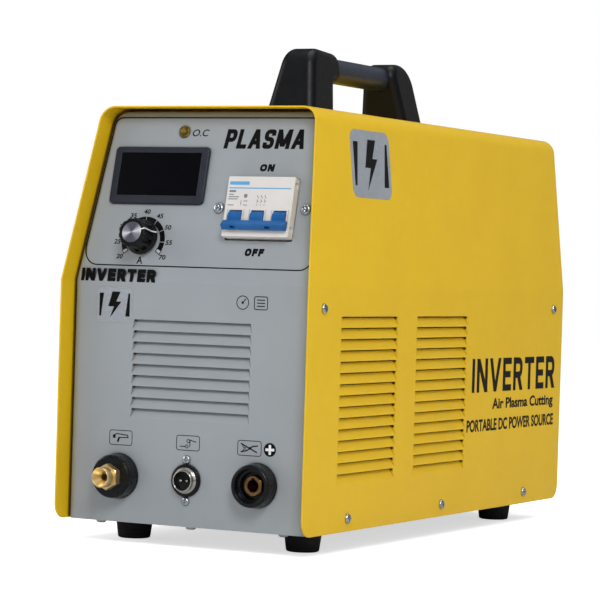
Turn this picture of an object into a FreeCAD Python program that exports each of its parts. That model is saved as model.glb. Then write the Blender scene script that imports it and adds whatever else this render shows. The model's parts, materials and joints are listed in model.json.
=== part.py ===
import FreeCAD, Part
import math
import os

# Inverter plasma cutter in a folded sheet-steel case. Millimetres, +Z up.
# The sockets and controls face -Y, and the origin is on the floor under the middle of the whole unit.

V = FreeCAD.Vector
ORIGIN = V(0, 0, 0)
RIGHT = V(1, 0, 0)
BACK = V(0, 1, 0)
UP = V(0, 0, 1)

# Case
WIDTH = 205.0            # over the upright lower side walls
DEPTH = 476.5            # cover, front edge to rear edge
UNDERSIDE_Z = 16.0       # lower edge of the cover above the floor
KINK_Z = 192.0           # above this the sides lean in and the front leans back
TOP_Z = 321.0            # top of the cover
TOP_WIDTH = 178.0        # where the leaning sides would meet the top
FRONT_FALL = 29.5        # how far the front edge falls back between the kink and the top
SHEET = 1.2              # cover and panel sheet
COVER_BEND = 12.0        # outer bend radius along the top edges
PANEL_RECESS = 14.25     # panel face behind the cover's edge, front and rear
PANEL_GAP = 0.4          # panel flange to cover
PANEL_TOP_GAP = 1.6      # panel top to cover
PANEL_BEND = 8.0         # outer bend radius of the panel's upright and top edges
PANEL_CORNER = 13.0      # upper corners of the panel, seen from the front
FLANGE_DEPTH = 20.0      # panel face to the rear edge of its flange
PAN_SHEET = 1.5          # base pan sheet
PAN_WALL = 16.0          # height of the base pan's side walls

# Reach of the parts that stick out past the cover
FRONT_REACH = 12.0       # torch fitting ahead of the cover
REAR_REACH = 43.0        # mains cord behind the cover

FRONT = -(DEPTH + FRONT_REACH + REAR_REACH) / 2.0 + FRONT_REACH
REAR = FRONT + DEPTH
PANEL_Y = FRONT + PANEL_RECESS
REAR_PANEL_Y = REAR - PANEL_RECESS
SLOPE = math.degrees(math.atan2(FRONT_FALL, TOP_Z - KINK_Z))
LEAN = math.atan2((WIDTH - TOP_WIDTH) / 2.0, TOP_Z - KINK_Z)
PAN_Z = UNDERSIDE_Z + SHEET
DECK_Z = PAN_Z + PAN_SHEET

# Louvres: flaps lanced along their top edge and pushed in
LOUVRE_PITCH = 8.1
LOUVRE_HEIGHT = 7.0
LOUVRE_DEPTH = 3.2
LOUVRE_FLARE = 1.2       # how much further a flap reaches at its foot, each end
LOUVRE_END = 1.0         # how far a flap's end slopes in
LOUVRE_TEAR = 0.4        # share of a flap's end that is torn open
SIDE_LOUVRE_SLIT = 0.8   # clear height over a flap's top edge
FRONT_LOUVRE_SLIT = 0.0
SIDE_LOUVRE_ROWS = 15
SIDE_LOUVRE_LENGTH = 94.0
SIDE_LOUVRE_TOP_Z = 171.4
SIDE_LOUVRE_CENTRES = (FRONT + 99.3, FRONT + 228.3)
FRONT_LOUVRE_ROWS = 9
FRONT_LOUVRE_LENGTH = 96.6
FRONT_LOUVRE_TOP_Z = 164.4
FRONT_LOUVRE_X = 0.7

# Feet and handle
FOOT_X = 71.0
FOOT_FROM_END = 63.0
FOOT_TOP_R = 14.0
FOOT_BOTTOM_R = 12.2
FOOT_SCREW_R = 2.5
HANDLE_Y = FRONT + 257.2
HANDLE_HALF = 103.4      # handle centre to the outer foot of each post
POST_DEPTH = 41.4        # at the foot of the front post
REAR_POST_DEPTH = 38.4
POST_INNER = 55.0        # handle centre to a post's inner side at the top of the gap
POST_HALF_WIDTH = 21.6
POST_TOP_HALF_WIDTH = 12.8
POST_EDGE_R = 7.0
POST_SHOULDER_R = 17.0   # outer upper corner, seen from the side
REAR_SHOULDER_R = 24.0
HANDLE_TOP_Z = 376.4
HANDLE_TUBE_R = 9.8
HANDLE_TUBE_Z = 361.6
HANDLE_TUBE_HALF = 76.4
HANDLE_TUBE_WALL = 1.5
HANDLE_WALL = 0.8        # plastic below the tube where it enters the nose
NOSE_REACH = 62.5        # outer foot of the front post to the end of its nose
HANDLE_SCREW_X = 9.0

# Controls on the sloped panel, as x and height above the floor
KNOB_X, KNOB_Z = -46.0, 223.8
KNOB_TOP = 18.2          # above the panel
KNOB_REST = 17.0         # pointer angle, anticlockwise from the right
KNOB_FLUTES = 12
FLUTE_R = 2.3
FLUTE_AXIS_R = 12.2
POT_THREAD_R = 4.5
LED_X, LED_Z = -24.2, 302.5
LED_R = 2.5
LED_HOLE_R = 4.0
DISPLAY_X, DISPLAY_Z = -39.6, 269.8
DISPLAY_WIDTH, DISPLAY_HEIGHT = 79.0, 43.0
COLLAR_WIDTH, COLLAR_HEIGHT = 76.0, 39.0
WINDOW_WIDTH, WINDOW_HEIGHT = 67.6, 32.4
WINDOW_SHIFT = 0.8
BREAKER_X, BREAKER_Z = 48.9, 246.8
BREAKER_WIDTH, BREAKER_FACE = 54.0, 44.4
BREAKER_PROUD = 6.5
BREAKER_STEP = 12.5      # panel face down to the shoulder of its deep case
POLE_PITCH = 18.0
POLES = (-POLE_PITCH, 0.0, POLE_PITCH)
TOGGLE_PIVOT_V = -8.0    # up the face from its middle
TOGGLE_PIVOT_W = BREAKER_PROUD - 3.0
TOGGLE_REST = 50.0       # levers below the face's normal when off
BREAKER_SCREW_X = 35.3

# Sockets on the upright panel
SOCKET_Z = 49.6
TORCH_X = -57.0
CLAMP_X = 58.0
CONTROL_X = 0.0
CONTROL_SCREW_Z = 15.05
FLANGE_PROUD = 12.0
TORCH_FLANGE_R = 16.7
CLAMP_FLANGE_R = 16.2
FLANGE_HOLE_R = 10.0
TORCH_PROUD = PANEL_RECESS + FRONT_REACH
TORCH_BORE_R = 2.6
TORCH_NOSE_R = 7.5
CLAMP_BORE_R = 4.6
CLAMP_DEPTH = 9.0        # rim of the collar down to the socket's shoulder
SOCKET_TAIL_R = 6.0
SOCKET_TAIL = 30.0
CONTROL_PIN_X = 2.6
CONTROL_HOLE_R = 9.0

# Rear panel
FAN_Z = 205.0
FAN_SIZE = 120.0
FAN_THICK = 38.0
FAN_HOLE = 52.5
FAN_BORE_R = 58.0
FAN_BLADES = 9
GLAND_X, GLAND_Z = 52.0, 62.0
GLAND_THREAD_R = 10.0
CORD_R = 6.0
GAS_X, GAS_Z = -55.0, 55.0
GAS_THREAD_R = 6.5
GAS_THREAD = 13.8        # panel face to the inner end of the inlet's thread
VALVE_Y = REAR_PANEL_Y - GAS_THREAD - 15.0
PLUNGER_R = 4.0
EARTH_Z = 48.0
EARTH_NECK_R = 3.6

# Screws: radii of their threads and of the plain holes they pass
M4_R = 2.0
M4_HOLE_R = 2.2
M3_R = 1.5
M3_HOLE_R = 1.7
SIDE_SCREW_HIGH_Z = 177.0
SIDE_SCREW_LOW_Z = 25.4
LOW_SCREW_YS = (FRONT + 70.7, FRONT + 235.0, REAR - 76.6)
FRONT_FLANGE_Y = FRONT + 23.3    # screws into the front panel's flanges
REAR_FLANGE_Y = REAR - 21.5      # side screws into the rear panel's flanges
REAR_BASE_Y = REAR - 23.3        # screws under the rear panel's lower flange
BASE_SCREW_XS = (-76.0, 0.0, 76.0)

# Power electronics, standing on a board over the base pan
BOARD_Z = DECK_Z + 11.5
BOARD_TOP = BOARD_Z + 1.6
BOARD_WIDTH = 156.0
BOARD_FRONT = FRONT + 95.0
BOARD_BACK = FRONT + 385.0
STANDOFF_X = 72.0
HEATSINK_Y = (FRONT + 228.0, FRONT + 372.0)
HEATSINK_FOOT_X = 30.0
HEATSINK_REACH_X = 72.0
HEATSINK_HEIGHT = 144.0
FIN_PITCH = 9.0
FIN_THICK = 2.2
TRANSFORMER_X = -38.0
TRANSFORMER_Y = FRONT + 180.0
CORE_WIDTH, CORE_DEPTH, CORE_HEIGHT = 64.0, 50.0, 70.0
CORE_LIMB = 12.0
CORE_LEG = 20.0

# Running clearance, on the radius
RUNNING = 0.05


# Shape helpers

def box(x0, x1, y0, y1, z0, z1):
    return Part.makeBox(x1 - x0, y1 - y0, z1 - z0, V(x0, y0, z0))


def disc(radius, z0, z1, x=0.0, y=0.0):
    return Part.makeCylinder(radius, z1 - z0, V(x, y, z0))


def ring(outer, inner, z0, z1):
    return disc(outer, z0, z1).cut(disc(inner, z0 - 1, z1 + 1))


def corner_points(before, here, after, radius):
    """Start, middle and end of the arc that rounds a corner, or the corner itself three times."""
    if radius <= 0:
        return here, None, here
    back = (before - here).normalize()
    ahead = (after - here).normalize()
    half = back.getAngle(ahead) / 2.0
    reach = radius / math.tan(half)
    middle = here + (back + ahead).normalize() * (radius / math.sin(half) - radius)
    return here + back * reach, middle, here + ahead * reach


def rounded_edges(points, radii, closed):
    """Lines and arcs through points whose corners are rounded by the radii."""
    count = len(points)
    corners = []
    for i in range(count):
        radius = radii[i]
        if not closed and i in (0, count - 1):
            radius = 0
        corners.append(corner_points(points[i - 1], points[i], points[(i + 1) % count], radius))
    edges = []
    for i, (start, middle, end) in enumerate(corners):
        if middle:
            edges.append(Part.Arc(start, middle, end).toShape())
        if i + 1 < count or closed:
            following = corners[(i + 1) % count][0]
            if (following - end).Length > 1e-6:
                edges.append(Part.makeLine(end, following))
    return edges


def prism(corners, z0, z1):
    """Upright prism over a closed outline of corners (x, y, radius)."""
    points = [V(x, y, z0) for x, y, _ in corners]
    radii = [radius for _, _, radius in corners]
    return Part.Face(Part.Wire(rounded_edges(points, radii, True))).extrude(V(0, 0, z1 - z0))


def along_y(corners, y0, y1):
    """Prism with its section in (x, z), running from y0 to y1."""
    shape = prism(corners, -y1, -y0)
    shape.rotate(ORIGIN, RIGHT, 90)
    return shape


def along_x(corners, x0, x1):
    """Prism with its section in (y, z), running from x0 to x1."""
    shape = prism(corners, x0, x1)
    shape.rotate(ORIGIN, V(1, 1, 1), 120)
    return shape


def plate(width, height, radius, z0, z1, x=0.0, y=0.0):
    """Flat plate centred on (x, y) with rounded corners."""
    w = width / 2.0
    h = height / 2.0
    return prism([(x - w, y - h, radius), (x + w, y - h, radius),
                  (x + w, y + h, radius), (x - w, y + h, radius)], z0, z1)


def hexagon(across_flats, z0, z1):
    radius = across_flats / math.sqrt(3)
    corners = [(radius * math.cos(math.radians(a)), radius * math.sin(math.radians(a)), 0)
               for a in range(0, 360, 60)]
    return prism(corners, z0, z1)


def turned(profile):
    """Solid of revolution about Z from closed (radius, z) points."""
    points = [V(r, 0, z) for r, z in profile]
    points.append(points[0])
    return Part.Face(Part.makePolygon(points)).revolve(ORIGIN, UP, 360)


def pipe(points, radius, bend):
    """Round bar along a path whose corners are bent to one radius."""
    edges = rounded_edges(points, [bend] * len(points), False)
    section = Part.Wire(Part.makeCircle(radius, points[0], points[1] - points[0]))
    return Part.Wire(edges).makePipeShell([section], True, True)


def polyhedron(faces):
    """Closed solid from faces given as lists of points."""
    shells = [Part.Face(Part.makePolygon(list(face) + [face[0]])) for face in faces]
    return Part.Solid(Part.Shell(shells))


def joined(shapes):
    return shapes[0].fuse(shapes[1:]).removeSplitter()


def moved(shape, x, y, z):
    placed = shape.copy()
    placed.translate(V(x, y, z))
    return placed


def turned_to(shape, axis, angle):
    placed = shape.copy()
    placed.rotate(ORIGIN, axis, angle)
    return placed


# Places on the case. Shapes for a panel are drawn flat: X right, Y up the panel, Z out of it.

def slope_y(z):
    """Y of the sloped panel's outer face at a height."""
    return PANEL_Y + (z - KINK_Z) * math.tan(math.radians(SLOPE))


def on_slope(shape, x, z):
    return moved(turned_to(shape, RIGHT, 90 - SLOPE), x, slope_y(z), z)


def on_front(shape, x, z):
    return moved(turned_to(shape, RIGHT, 90), x, PANEL_Y, z)


def on_rear(shape, x, z):
    facing = turned_to(turned_to(shape, RIGHT, 90), UP, 180)
    return moved(facing, x, REAR_PANEL_Y, z)


def on_side(shape, side, y, z):
    """Put a flat shape on the outside of the right (side 1) or left (side -1) lower wall."""
    facing = turned_to(turned_to(shape, RIGHT, 90), UP, 90 * side)
    return moved(facing, side * WIDTH / 2.0, y, z)


def pan_screw(head_r, head_h, shank_r, length):
    """Cross-recessed pan-head screw standing on z = 0 with its shank below."""
    head = disc(head_r, 0, head_h)
    rim = [edge for edge in head.Edges if abs(edge.BoundBox.ZMin - head_h) < 1e-6]
    head = head.makeFillet(head_h * 0.75, rim)
    slot = head_r * 0.6
    wide = head_r * 0.14
    bite = head_h * 0.45
    for length_x, length_y in ((slot, wide), (wide, slot)):
        head = head.cut(box(-length_x, length_x, -length_y, length_y, bite, head_h + 1))
    return head.fuse(disc(shank_r, -length, 0)).removeSplitter()


def louvres(length, rows, slit):
    """Pockets and slits opened in a sheet face, and the blisters raised behind it."""
    half = length / 2.0
    pockets = []
    blisters = []
    for row in range(rows):
        y = -row * LOUVRE_PITCH
        a = V(-half, y, 0)
        b = V(half, y, 0)
        c = V(half + LOUVRE_FLARE, y - LOUVRE_HEIGHT, 0)
        d = V(-half - LOUVRE_FLARE, y - LOUVRE_HEIGHT, 0)
        e = V(-half + LOUVRE_END, y, -LOUVRE_DEPTH)
        f = V(half - LOUVRE_END, y, -LOUVRE_DEPTH)
        pocket = polyhedron([(a, b, c, d), (a, e, f, b), (d, c, f, e), (a, d, e), (b, f, c)])
        pockets.append(pocket)
        for side in (-1, 1):
            tear = [(side * half, y, 0), (side * (half - LOUVRE_END), y - slit, 0),
                    (side * (half + LOUVRE_FLARE * LOUVRE_TEAR), y - LOUVRE_HEIGHT * LOUVRE_TEAR, 0)]
            pockets.append(prism(tear, -LOUVRE_DEPTH - SHEET - 1, 1))
        if slit:
            pockets.append(box(-half, half, y - slit, y, -LOUVRE_DEPTH - SHEET - 1, 1))
        blisters.append(moved(pocket, 0, 0, -SHEET))
    return pockets, blisters


def pressed(sheet, pockets, blisters):
    return sheet.fuse(blisters).cut(pockets)


# Case

def case_section(inset, bottom, top_inset, bend, kink_bend=3.0):
    """Section of the case in (x, z), moved inwards by inset."""
    low = WIDTH / 2.0 - inset
    top = TOP_Z - top_inset
    high = WIDTH / 2.0 - (top - KINK_Z) * math.tan(LEAN) - inset / math.cos(LEAN)
    return [(-low, bottom, 0), (low, bottom, 0), (low, KINK_Z, kink_bend), (high, top, bend),
            (-high, top, bend), (-low, KINK_Z, kink_bend)]


def slant_profile(front, back, bottom, top, corner, kink_bend=2.0):
    """Side view in (y, z) of something whose front edge follows the case's slant."""
    fall = (top - KINK_Z) * math.tan(math.radians(SLOPE))
    return [(front, bottom, corner), (front, KINK_Z, kink_bend), (front + fall, top, 0),
            (back, top, 0), (back, bottom, corner)]


def side_screw_places():
    """(y, z) of the screws on each side of the cover."""
    high = [(y, SIDE_SCREW_HIGH_Z) for y in (FRONT_FLANGE_Y, REAR_FLANGE_Y)]
    return high + low_screw_places()


def low_screw_places():
    """(y, z) of the screws that hold the cover to the base pan's walls."""
    return [(y, SIDE_SCREW_LOW_Z) for y in LOW_SCREW_YS]


def base_screw_places():
    """(x, y) of the screws under the panels' lower flanges."""
    return [(x, y) for y in (FRONT_FLANGE_Y, REAR_BASE_Y) for x in BASE_SCREW_XS]


def foot_places():
    return [(x, y) for x in (-FOOT_X, FOOT_X)
            for y in (FRONT + FOOT_FROM_END, REAR - FOOT_FROM_END)]


def handle_screw_places():
    """(x, y) of the screws that hold the two handle posts."""
    return [(x, HANDLE_Y + end * (HANDLE_HALF - POST_DEPTH / 2.0))
            for end in (-1, 1) for x in (-HANDLE_SCREW_X, HANDLE_SCREW_X)]


def top_cover():
    outside = along_y(case_section(0, UNDERSIDE_Z, 0, COVER_BEND), FRONT, REAR)
    inside = along_y(case_section(SHEET, UNDERSIDE_Z - 5, SHEET, COVER_BEND - SHEET),
                     FRONT - 5, REAR + 5)
    sheet = outside.cut(inside)
    side_view = slant_profile(FRONT, REAR, UNDERSIDE_Z, TOP_Z, COVER_BEND)
    sheet = sheet.common(along_x(side_view, -WIDTH, WIDTH))
    holes, bumps = louvres(SIDE_LOUVRE_LENGTH, SIDE_LOUVRE_ROWS, SIDE_LOUVRE_SLIT)
    columns = [(side, y) for side in (-1, 1) for y in SIDE_LOUVRE_CENTRES]
    pockets = [on_side(hole, side, y, SIDE_LOUVRE_TOP_Z) for side, y in columns for hole in holes]
    blisters = [on_side(bump, side, y, SIDE_LOUVRE_TOP_Z) for side, y in columns for bump in bumps]
    sheet = pressed(sheet, pockets, blisters)
    drill = disc(M4_HOLE_R, -5, 5)
    drilled = [on_side(drill, side, y, z) for side in (-1, 1) for y, z in side_screw_places()]
    drilled += [moved(drill, x, y, TOP_Z) for x, y in handle_screw_places()]
    return sheet.cut(drilled)


def tray(face_y, sloped, inset):
    """Envelope of a panel and its flanges: a sharp-edged block moved inwards by inset."""
    section = case_section(SHEET + PANEL_GAP + inset, UNDERSIDE_Z + inset,
                           SHEET + PANEL_TOP_GAP + inset, PANEL_CORNER - inset, 0)
    slant = slope_y(TOP_Z) - PANEL_Y if sloped else 0.0
    back = face_y + FLANGE_DEPTH
    deeper = 5 if inset else 0
    profile = [(face_y + inset, UNDERSIDE_Z - 1, 0), (face_y + inset, KINK_Z, 0),
               (face_y + inset + slant, TOP_Z, 0), (back + slant + deeper, TOP_Z, 0),
               (back + deeper, KINK_Z, 0), (back + deeper, UNDERSIDE_Z - 1, 0)]
    block = along_y(section, face_y, face_y + 200).common(along_x(profile, -WIDTH, WIDTH))
    block = block.removeSplitter()
    return block.makeFillet(PANEL_BEND - inset, face_edges(block, face_y, sloped))


def face_edges(block, face_y, sloped):
    """The upright edges and the top edge that bound a panel envelope's face."""
    edges = []
    for edge in block.Edges:
        middle = edge.valueAt((edge.FirstParameter + edge.LastParameter) / 2.0)
        front = max(face_y, slope_y(middle.z)) if sloped else face_y
        near = abs(middle.y - front) < 2.0
        across = abs(middle.x) < 60 and middle.z < TOP_Z - 20
        if near and not across:
            edges.append(edge)
    return edges


def panel_screw_holes(base_y, side_y):
    """Clearance for the base screws and threads for the side screws in a panel's flanges."""
    holes = [disc(M4_HOLE_R, UNDERSIDE_Z - 5, UNDERSIDE_Z + 5, x, base_y) for x in BASE_SCREW_XS]
    thread = disc(M4_R, -8, 8)
    holes += [on_side(thread, side, side_y, SIDE_SCREW_HIGH_Z) for side in (-1, 1)]
    return holes


def front_panel():
    sheet = tray(PANEL_Y, True, 0).cut(tray(PANEL_Y, True, SHEET))
    pockets, blisters = louvres(FRONT_LOUVRE_LENGTH, FRONT_LOUVRE_ROWS, FRONT_LOUVRE_SLIT)
    pockets = [on_front(hole, FRONT_LOUVRE_X, FRONT_LOUVRE_TOP_Z) for hole in pockets]
    blisters = [on_front(bump, FRONT_LOUVRE_X, FRONT_LOUVRE_TOP_Z) for bump in blisters]
    sheet = pressed(sheet, pockets, blisters)
    holes = panel_screw_holes(FRONT_FLANGE_Y, FRONT_FLANGE_Y) + control_holes()
    for x in (TORCH_X, CLAMP_X):
        holes.append(on_front(disc(FLANGE_HOLE_R, -5, 5), x, SOCKET_Z))
    for side in (-1, 1):
        drill = disc(M3_HOLE_R, -5, 5, 0, side * CONTROL_SCREW_Z)
        holes.append(on_front(drill, CONTROL_X, SOCKET_Z))
    holes.append(on_front(disc(CONTROL_HOLE_R, -5, 5), CONTROL_X, SOCKET_Z))
    return sheet.cut(holes)


def control_holes():
    """Openings in the sloped face for the knob, lamp, meter and breaker."""
    breaker = plate(BREAKER_WIDTH + 0.6, BREAKER_FACE + 1.8, 0.5, -5, 5, 0, -0.6)
    meter = plate(COLLAR_WIDTH + 0.6, COLLAR_HEIGHT + 0.6, 0.5, -5, 5)
    holes = [on_slope(disc(POT_THREAD_R + 0.1, -5, 5), KNOB_X, KNOB_Z),
             on_slope(disc(LED_HOLE_R, -5, 5), LED_X, LED_Z),
             on_slope(meter, DISPLAY_X, DISPLAY_Z), on_slope(breaker, BREAKER_X, BREAKER_Z)]
    for side in (-1, 1):
        drill = disc(M3_HOLE_R, -5, 5, side * BREAKER_SCREW_X)
        holes.append(on_slope(drill, BREAKER_X, BREAKER_Z))
    return holes


def fan_screw_places():
    """(x, y) of the four screws about the fan's middle."""
    return [(x, y) for x in (-FAN_HOLE, FAN_HOLE) for y in (-FAN_HOLE, FAN_HOLE)]


def rear_panel():
    """Mirror of the front panel's lower form, upright all the way to the top."""
    sheet = tray(-REAR_PANEL_Y, False, 0).cut(tray(-REAR_PANEL_Y, False, SHEET))
    sheet.rotate(ORIGIN, UP, 180)
    holes = panel_screw_holes(REAR_BASE_Y, REAR_FLANGE_Y)
    holes.append(on_rear(disc(FAN_BORE_R - 1, -5, 5), 0, FAN_Z))
    holes += [on_rear(disc(M4_HOLE_R, -5, 5, x, y), 0, FAN_Z) for x, y in fan_screw_places()]
    holes.append(on_rear(disc(GLAND_THREAD_R + 0.1, -5, 5), GLAND_X, GLAND_Z))
    holes.append(on_rear(disc(GAS_THREAD_R + 0.1, -5, 5), GAS_X, GAS_Z))
    holes.append(on_rear(disc(EARTH_NECK_R, -5, 5), 0, EARTH_Z))
    return sheet.cut(holes)


def base_pan():
    """Folded floor with side walls that stop short of the panels' flanges."""
    half = WIDTH / 2.0 - SHEET - PANEL_GAP
    top = PAN_Z + PAN_WALL
    inner = half - PAN_SHEET
    y0 = PANEL_Y + SHEET + 0.5
    y1 = REAR_PANEL_Y - SHEET - 0.5
    section = [(-half, PAN_Z, 3), (half, PAN_Z, 3), (half, top, 0), (inner, top, 0),
               (inner, DECK_Z, 1.5), (-inner, DECK_Z, 1.5), (-inner, top, 0), (-half, top, 0)]
    pan = along_y(section, y0, y1)
    flange = FLANGE_DEPTH + 2.0
    notch = PANEL_BEND
    cuts = []
    for side in (-1, 1):
        x0, x1 = sorted((side * (inner - 2.0), side * (half + 1)))
        cuts.append(box(x0, x1, y0 - 1, PANEL_Y + flange, PAN_Z - 1, top + 1))
        cuts.append(box(x0, x1, REAR_PANEL_Y - flange, y1 + 1, PAN_Z - 1, top + 1))
        x0, x1 = sorted((side * (half - notch), side * (half + 1)))
        cuts.append(box(x0, x1, y0 - 1, y0 + notch, PAN_Z - 1, top + 1))
        cuts.append(box(x0, x1, y1 - notch, y1 + 1, PAN_Z - 1, top + 1))
        cuts += [on_side(disc(M4_R, -8, 8), side, y, z) for y, z in low_screw_places()]
    cuts += [disc(M4_R, PAN_Z - 5, DECK_Z + 5, x, y) for x, y in base_screw_places()]
    cuts += [disc(FOOT_SCREW_R, PAN_Z - 5, DECK_Z + 5, x, y) for x, y in foot_places()]
    return pan.cut(cuts)


def rubber_feet():
    rim = 1.5
    foot = turned([(2.7, 5.0), (6.5, 5.0), (6.5, 0), (FOOT_BOTTOM_R - rim, 0),
                   (FOOT_BOTTOM_R - 0.4, 0.5), (FOOT_BOTTOM_R, rim), (FOOT_TOP_R, PAN_Z - 2),
                   (FOOT_TOP_R, PAN_Z), (2.7, PAN_Z)])
    return [moved(foot, x, y, 0) for x, y in foot_places()]


def foot_screws():
    screw = pan_screw(head_r=4.8, head_h=2.8, shank_r=FOOT_SCREW_R, length=20.0)
    screw = turned_to(screw, RIGHT, 180)
    return [moved(screw, x, y, 5.0) for x, y in foot_places()]


def cover_screws():
    screw = pan_screw(head_r=3.6, head_h=2.2, shank_r=M4_R, length=6.0)
    return [on_side(screw, side, y, z) for side in (-1, 1) for y, z in side_screw_places()]


def base_screws():
    screw = turned_to(pan_screw(head_r=3.8, head_h=2.4, shank_r=M4_R, length=7.0), RIGHT, 180)
    return [moved(screw, x, y, UNDERSIDE_Z) for x, y in base_screw_places()]


# Handle

def handle_post(end):
    """Moulded post that holds the grip tube: end -1 at the front, with a nose, 1 at the rear."""
    nose = HANDLE_HALF - NOSE_REACH
    nose_bottom = HANDLE_TUBE_Z - HANDLE_TUBE_R - HANDLE_WALL
    top = HANDLE_HALF - 15.0
    if end < 0:
        side_view = [(HANDLE_HALF, TOP_Z, 0), (top, HANDLE_TOP_Z, POST_SHOULDER_R),
                     (nose, HANDLE_TOP_Z - 3.0, 11), (nose, nose_bottom, 8),
                     (POST_INNER, nose_bottom, 7), (HANDLE_HALF - POST_DEPTH, TOP_Z, 0)]
    else:
        side_view = [(HANDLE_HALF, TOP_Z, 0), (top, HANDLE_TOP_Z, REAR_SHOULDER_R),
                     (POST_INNER - 5.0, HANDLE_TOP_Z - 3.0, 11), (POST_INNER + 1.5, nose_bottom, 40),
                     (HANDLE_HALF - REAR_POST_DEPTH, TOP_Z, 0)]
    side_view = [(HANDLE_Y + end * y, z, r) for y, z, r in side_view]
    front_view = [(-POST_HALF_WIDTH, TOP_Z, 0), (POST_HALF_WIDTH, TOP_Z, 0),
                  (POST_TOP_HALF_WIDTH, HANDLE_TOP_Z, 0), (-POST_TOP_HALF_WIDTH, HANDLE_TOP_Z, 0)]
    post = along_x(side_view, -30, 30).common(along_y(front_view, HANDLE_Y - 120, HANDLE_Y + 120))
    long_edges = [edge for edge in post.Edges
                  if edge.BoundBox.ZMax > TOP_Z + 1 and abs(edge.CenterOfMass.x) > 5]
    post = post.makeFillet(POST_EDGE_R, long_edges)
    y0, y1 = sorted((HANDLE_Y, HANDLE_Y + end * (HANDLE_TUBE_HALF + 0.5)))
    socket = Part.makeCylinder(HANDLE_TUBE_R, y1 - y0, V(0, y0, HANDLE_TUBE_Z), BACK)
    pilots = [disc(M4_R, TOP_Z - 1, TOP_Z + 14, x, y) for x, y in handle_screw_places()]
    return post.cut([socket] + pilots)


def handle_tube():
    length = 2 * HANDLE_TUBE_HALF
    start = V(0, HANDLE_Y - HANDLE_TUBE_HALF, HANDLE_TUBE_Z)
    bar = Part.makeCylinder(HANDLE_TUBE_R, length, start, BACK)
    bore_r = HANDLE_TUBE_R - HANDLE_TUBE_WALL
    return bar.cut(Part.makeCylinder(bore_r, length + 2, start - BACK, BACK))


def handle_screws():
    screw = turned_to(pan_screw(head_r=3.8, head_h=2.4, shank_r=M4_R, length=13.0), RIGHT, 180)
    return [moved(screw, x, y, TOP_Z - SHEET) for x, y in handle_screw_places()]


# Controls

def control_knob():
    """Skirted knob with finger flutes. Its pointer lies along +X before it is set to its rest."""
    top = KNOB_TOP
    body = turned([(0, 2.6), (13.1, 2.6), (13.1, 3.5), (12.6, 4.3), (11.9, 5.4), (11.4, 7.0),
                   (11.2, 9.0), (11.0, top - 0.9), (10.7, top - 0.4), (10.2, top - 0.1), (0, top - 0.1)])
    cuts = [disc(9.0, 0, 6.0), disc(3.0, 0, 14.0), disc(7.9, top - 0.9, top + 1)]
    for i in range(KNOB_FLUTES):
        angle = math.radians((i + 0.5) * 360.0 / KNOB_FLUTES)
        x = FLUTE_AXIS_R * math.cos(angle)
        y = FLUTE_AXIS_R * math.sin(angle)
        cuts.append(disc(FLUTE_R, 5.8, top + 1, x, y))
    knob = turned_to(body.cut(cuts), UP, KNOB_REST)
    return on_slope(knob, KNOB_X, KNOB_Z)


def knob_cap():
    top = KNOB_TOP
    cap = turned([(0, top - 0.9), (7.85, top - 0.9), (7.85, top - 0.3), (7.5, top), (0, top)])
    return on_slope(cap, KNOB_X, KNOB_Z)


def potentiometer_shaft():
    return on_slope(disc(3.0, -12.8, 13.9), KNOB_X, KNOB_Z)


def potentiometer_body():
    can = disc(12.0, -14.0, -3.2).fuse(disc(POT_THREAD_R, -3.2, 3.4))
    terminals = [box(x - 1, x + 1, -19.0, -11.0, -9.0, -8.4) for x in (-5.0, 0.0, 5.0)]
    body = can.fuse(terminals).cut(disc(3.0 + RUNNING, -13.0, 4.0))
    return on_slope(body, KNOB_X, KNOB_Z)


def potentiometer_nut():
    return on_slope(hexagon(11.0, 0, 2.4).cut(disc(POT_THREAD_R, -1, 4)), KNOB_X, KNOB_Z)


def status_led():
    dome = Part.makeSphere(LED_R, V(0, 0, 1.6)).common(disc(LED_R + 0.5, 1.6, 5))
    led = disc(LED_R, -6.0, 1.6).fuse(dome).removeSplitter()
    return on_slope(led, LED_X, LED_Z)


def led_holder():
    holder = turned([(2.6, -8.0), (3.9, -8.0), (3.9, 0), (4.6, 0), (4.6, 0.9), (3.9, 1.7),
                     (2.6, 1.7)])
    return on_slope(holder, LED_X, LED_Z)


def display_bezel():
    rim = plate(DISPLAY_WIDTH, DISPLAY_HEIGHT, 3.0, 0, 2.4)
    edges = [e for e in rim.Edges if abs(e.BoundBox.ZMin - 2.4) < 1e-6 and e.BoundBox.ZLength < 1e-6]
    rim = rim.makeFillet(1.0, edges)
    collar = plate(COLLAR_WIDTH, COLLAR_HEIGHT, 0, -18.0, 0)
    hollow = plate(COLLAR_WIDTH - 3.0, COLLAR_HEIGHT - 3.0, 0, -19.0, 0)
    window = plate(WINDOW_WIDTH, WINDOW_HEIGHT, 0, -1, 3, 0, WINDOW_SHIFT)
    return on_slope(rim.fuse(collar.cut(hollow)).cut(window), DISPLAY_X, DISPLAY_Z)


def display_window():
    pane = plate(WINDOW_WIDTH, WINDOW_HEIGHT, 0, 0.3, 1.7, 0, WINDOW_SHIFT)
    return on_slope(pane, DISPLAY_X, DISPLAY_Z)


def display_board():
    return on_slope(plate(72.6, 35.6, 0, -12.0, -10.4), DISPLAY_X, DISPLAY_Z)


def display_digits():
    return on_slope(plate(50.0, 19.0, 0, -10.4, -2.4), DISPLAY_X, DISPLAY_Z)


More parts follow.
